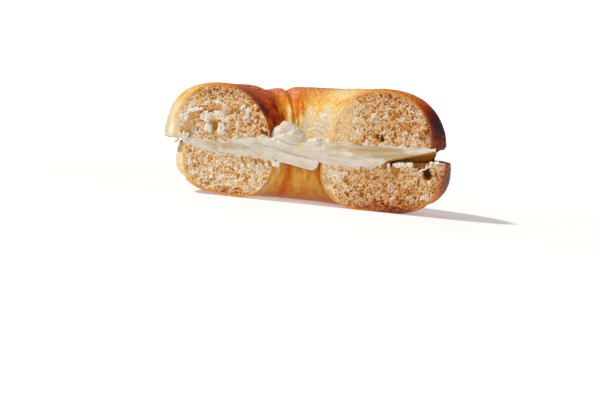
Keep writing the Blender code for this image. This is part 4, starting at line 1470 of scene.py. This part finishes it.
def add_camera():
    """Looks at the cut from a little above, turned so that the target falls on its pixel."""
    camera = bpy.data.cameras.new("camera")
    camera.lens = LENS
    camera.sensor_width = SENSOR
    camera.clip_start = CAMERA_NEAREST
    obj = bpy.data.objects.new("camera", camera)
    bpy.context.scene.collection.objects.link(obj)
    target = Vector(TARGET)
    place = target + CAMERA_FAR * Vector((0.0, -math.cos(CAMERA_ELEVATION), math.sin(CAMERA_ELEVATION)))
    roll = Matrix.Rotation(CAMERA_ROLL, 3, "Z")
    turn = (target - place).to_track_quat("-Z", "Y").to_matrix() @ roll
    step = SENSOR / PICTURE[0] / LENS * CAMERA_FAR
    aside = (TARGET_PIXEL[0] - PICTURE[0] / 2.0) * step
    above = (PICTURE[1] / 2.0 - TARGET_PIXEL[1]) * step
    aim = target - turn.col[0] * aside - turn.col[1] * above
    turn = (aim - place).to_track_quat("-Z", "Y").to_matrix() @ roll
    obj.matrix_world = Matrix.Translation(place) @ turn.to_4x4()
    bpy.context.scene.camera = obj


# ---- Putting it together ----

# Each bread: how fine its mesh is, its form, the middles of its right and left cut ends as x and z, its
# browning, its cavities, where its crumb stays closed and how far it still opens, between which x its
# left edge is rounded more, how far the crust's colour reaches in, and where the crumb is toasted. These
# patches have their middle, half sizes and value.
TOP = SimpleNamespace(
    name="top_bread_crust_and_crumb",
    cells=TOP_CELLS,
    point=bread_point(TOP_ROWS, TOP_RIM, TOP_PINCHES, TOP_HOLE, sole_height, dome, 0.0),
    slit_up=0.0,
    slit_height=sole_height,
    hole=TOP_HOLE,
    hearts=((30.0, 34.0), (-34.0, 32.0)),
    patches=TOP_BAKE,
    bands=TOP_BANDS,
    puckered=1.0,
    cavities=TOP_CAVITIES,
    smooth_crumb=(((-55.0, 28.0), (3.0, 8.0), 0.15), ((14.0, 34.0), (2.6, 9.0), 0.15)),
    pulled_in=(44.0, 53.0),
    rims=(
        ((-51.0, 32.0), (8.0, 13.0), 1.6),
        ((-38.0, 46.5), (13.0, 3.0), 1.0),
        ((12.0, 33.0), (5.0, 9.0), 1.7),
        ((18.0, 44.0), (7.0, 4.0), 1.5),
        ((36.0, 48.0), (12.0, 3.0), 0.8),
        ((50.0, 34.0), (7.0, 10.0), 1.3),
    ),
    toasted=(
        ((32.0, 35.0), (17.0, 14.0), 0.22),
        ((-28.0, 29.0), (15.0, 8.0), 0.14),
        ((-40.0, 43.0), (15.0, 4.6), 0.3),
        ((-51.0, 31.0), (4.0, 8.0), -0.3),
        ((16.0, 32.0), (5.0, 12.0), -0.12),
        ((32.0, 46.4), (15.0, 3.4), 0.36),
        ((50.0, 33.0), (3.4, 10.0), 0.55),
    ),
    smeared=lambda x: np.where(x < 0.0, 1.0, 1.0 - smooth(x, 44.0, 50.0)),
)
BASE = SimpleNamespace(
    name="bottom_bread_crust_and_crumb",
    cells=BASE_CELLS,
    point=bread_point(BASE_ROWS, BASE_RIM, BASE_PINCHES, BASE_HOLE, bed_height, bowl, 1.0),
    slit_up=1.0,
    slit_height=bed_height,
    hole=BASE_HOLE,
    hearts=((32.0, 11.0), (-30.0, 10.0)),
    patches=BASE_BAKE,
    bands=BASE_BANDS,
    puckered=0.4,
    cavities=BASE_CAVITIES,
    smooth_crumb=(),
    pulled_in=(49.0, 58.0),
    rims=(
        ((34.0, 0.0), (14.0, 3.0), 1.8),
        ((54.0, 12.0), (4.0, 9.0), 1.2),
        ((10.0, 8.0), (4.0, 8.0), 1.1),
        ((-50.0, 10.0), (4.0, 9.0), 0.8),
        ((-34.0, 0.0), (9.0, 2.0), 1.1),
    ),
    toasted=(
        ((-16.0, 8.0), (7.0, 8.0), -0.3),
        ((10.0, 11.0), (5.0, 8.0), -0.3),
        ((32.0, 12.0), (18.0, 10.0), 0.22),
        ((34.0, 5.0), (18.0, 5.6), 0.35),
        ((34.0, 0.6), (16.0, 4.0), 0.75),
        ((53.0, 13.0), (2.6, 8.0), 0.4),
        ((-31.0, 0.4), (12.0, 2.4), 0.55),
    ),
    smeared=lambda x: np.where(x < 0.0, 1.0, 1.0 - smooth(x, 27.0, 31.0)),
)
SEED = 7


def place_in_frame(objects, whole):
    """Moves the bagel from the baker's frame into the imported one, under the middle of its box."""
    points = np.concatenate([read(obj.data) for obj in whole])
    low, high = CAD_BOX
    middle = (points[:, 0].min() + points[:, 0].max()) / 2.0
    shift = ((low.x + high.x) / 2.0 / MM - middle, low.y / MM, 0.0)
    for obj in objects:
        write(obj.data, (read(obj.data) + shift) * MM)


def build():
    crust, crumb, cream = boiled_baked_crust(), cut_crumb(), spread_cream_cheese()
    rng = np.random.default_rng(SEED)
    top = bread(TOP, (crust, crumb), rng)
    base = bread(BASE, (crust, crumb), rng)
    cheese = filling("cream_cheese_spread", cream)
    heaps = heaped_cheese("cream_cheese_heaps", cream)
    dabs = rough_lumps("cream_cheese_dabs", ball_shapes(CHEESE_PATCHES, rng), cream, CHEESE_WAVES)
    torn = ball_shapes(CRUMB_PATCHES, rng) + strand_shapes()
    shreds = rough_lumps("crumb_shreds", torn, crumb, CRUMB_WAVES)
    lip = browned_lip("shaded_browned_lip_in_gap", crumb)
    # Each piece with the node that it stands for, or whose finish it shares.
    pieces = {top: "top_bread", base: "bottom_bread", cheese: "cream_cheese"}
    extras = {heaps: "cream_cheese", dabs: "cream_cheese", shreds: "bottom_bread", lip: "top_bread"}
    place_in_frame((*pieces, *extras), pieces)
    for piece, slot in {**pieces, **extras}.items():
        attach(piece, "root")
    for piece, node in pieces.items():
        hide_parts(node)


build()
add_room()
for name, light in LIGHTS.items():
    add_sun(name, *light)
add_camera()
bpy.context.scene.view_settings.view_transform = "Standard"
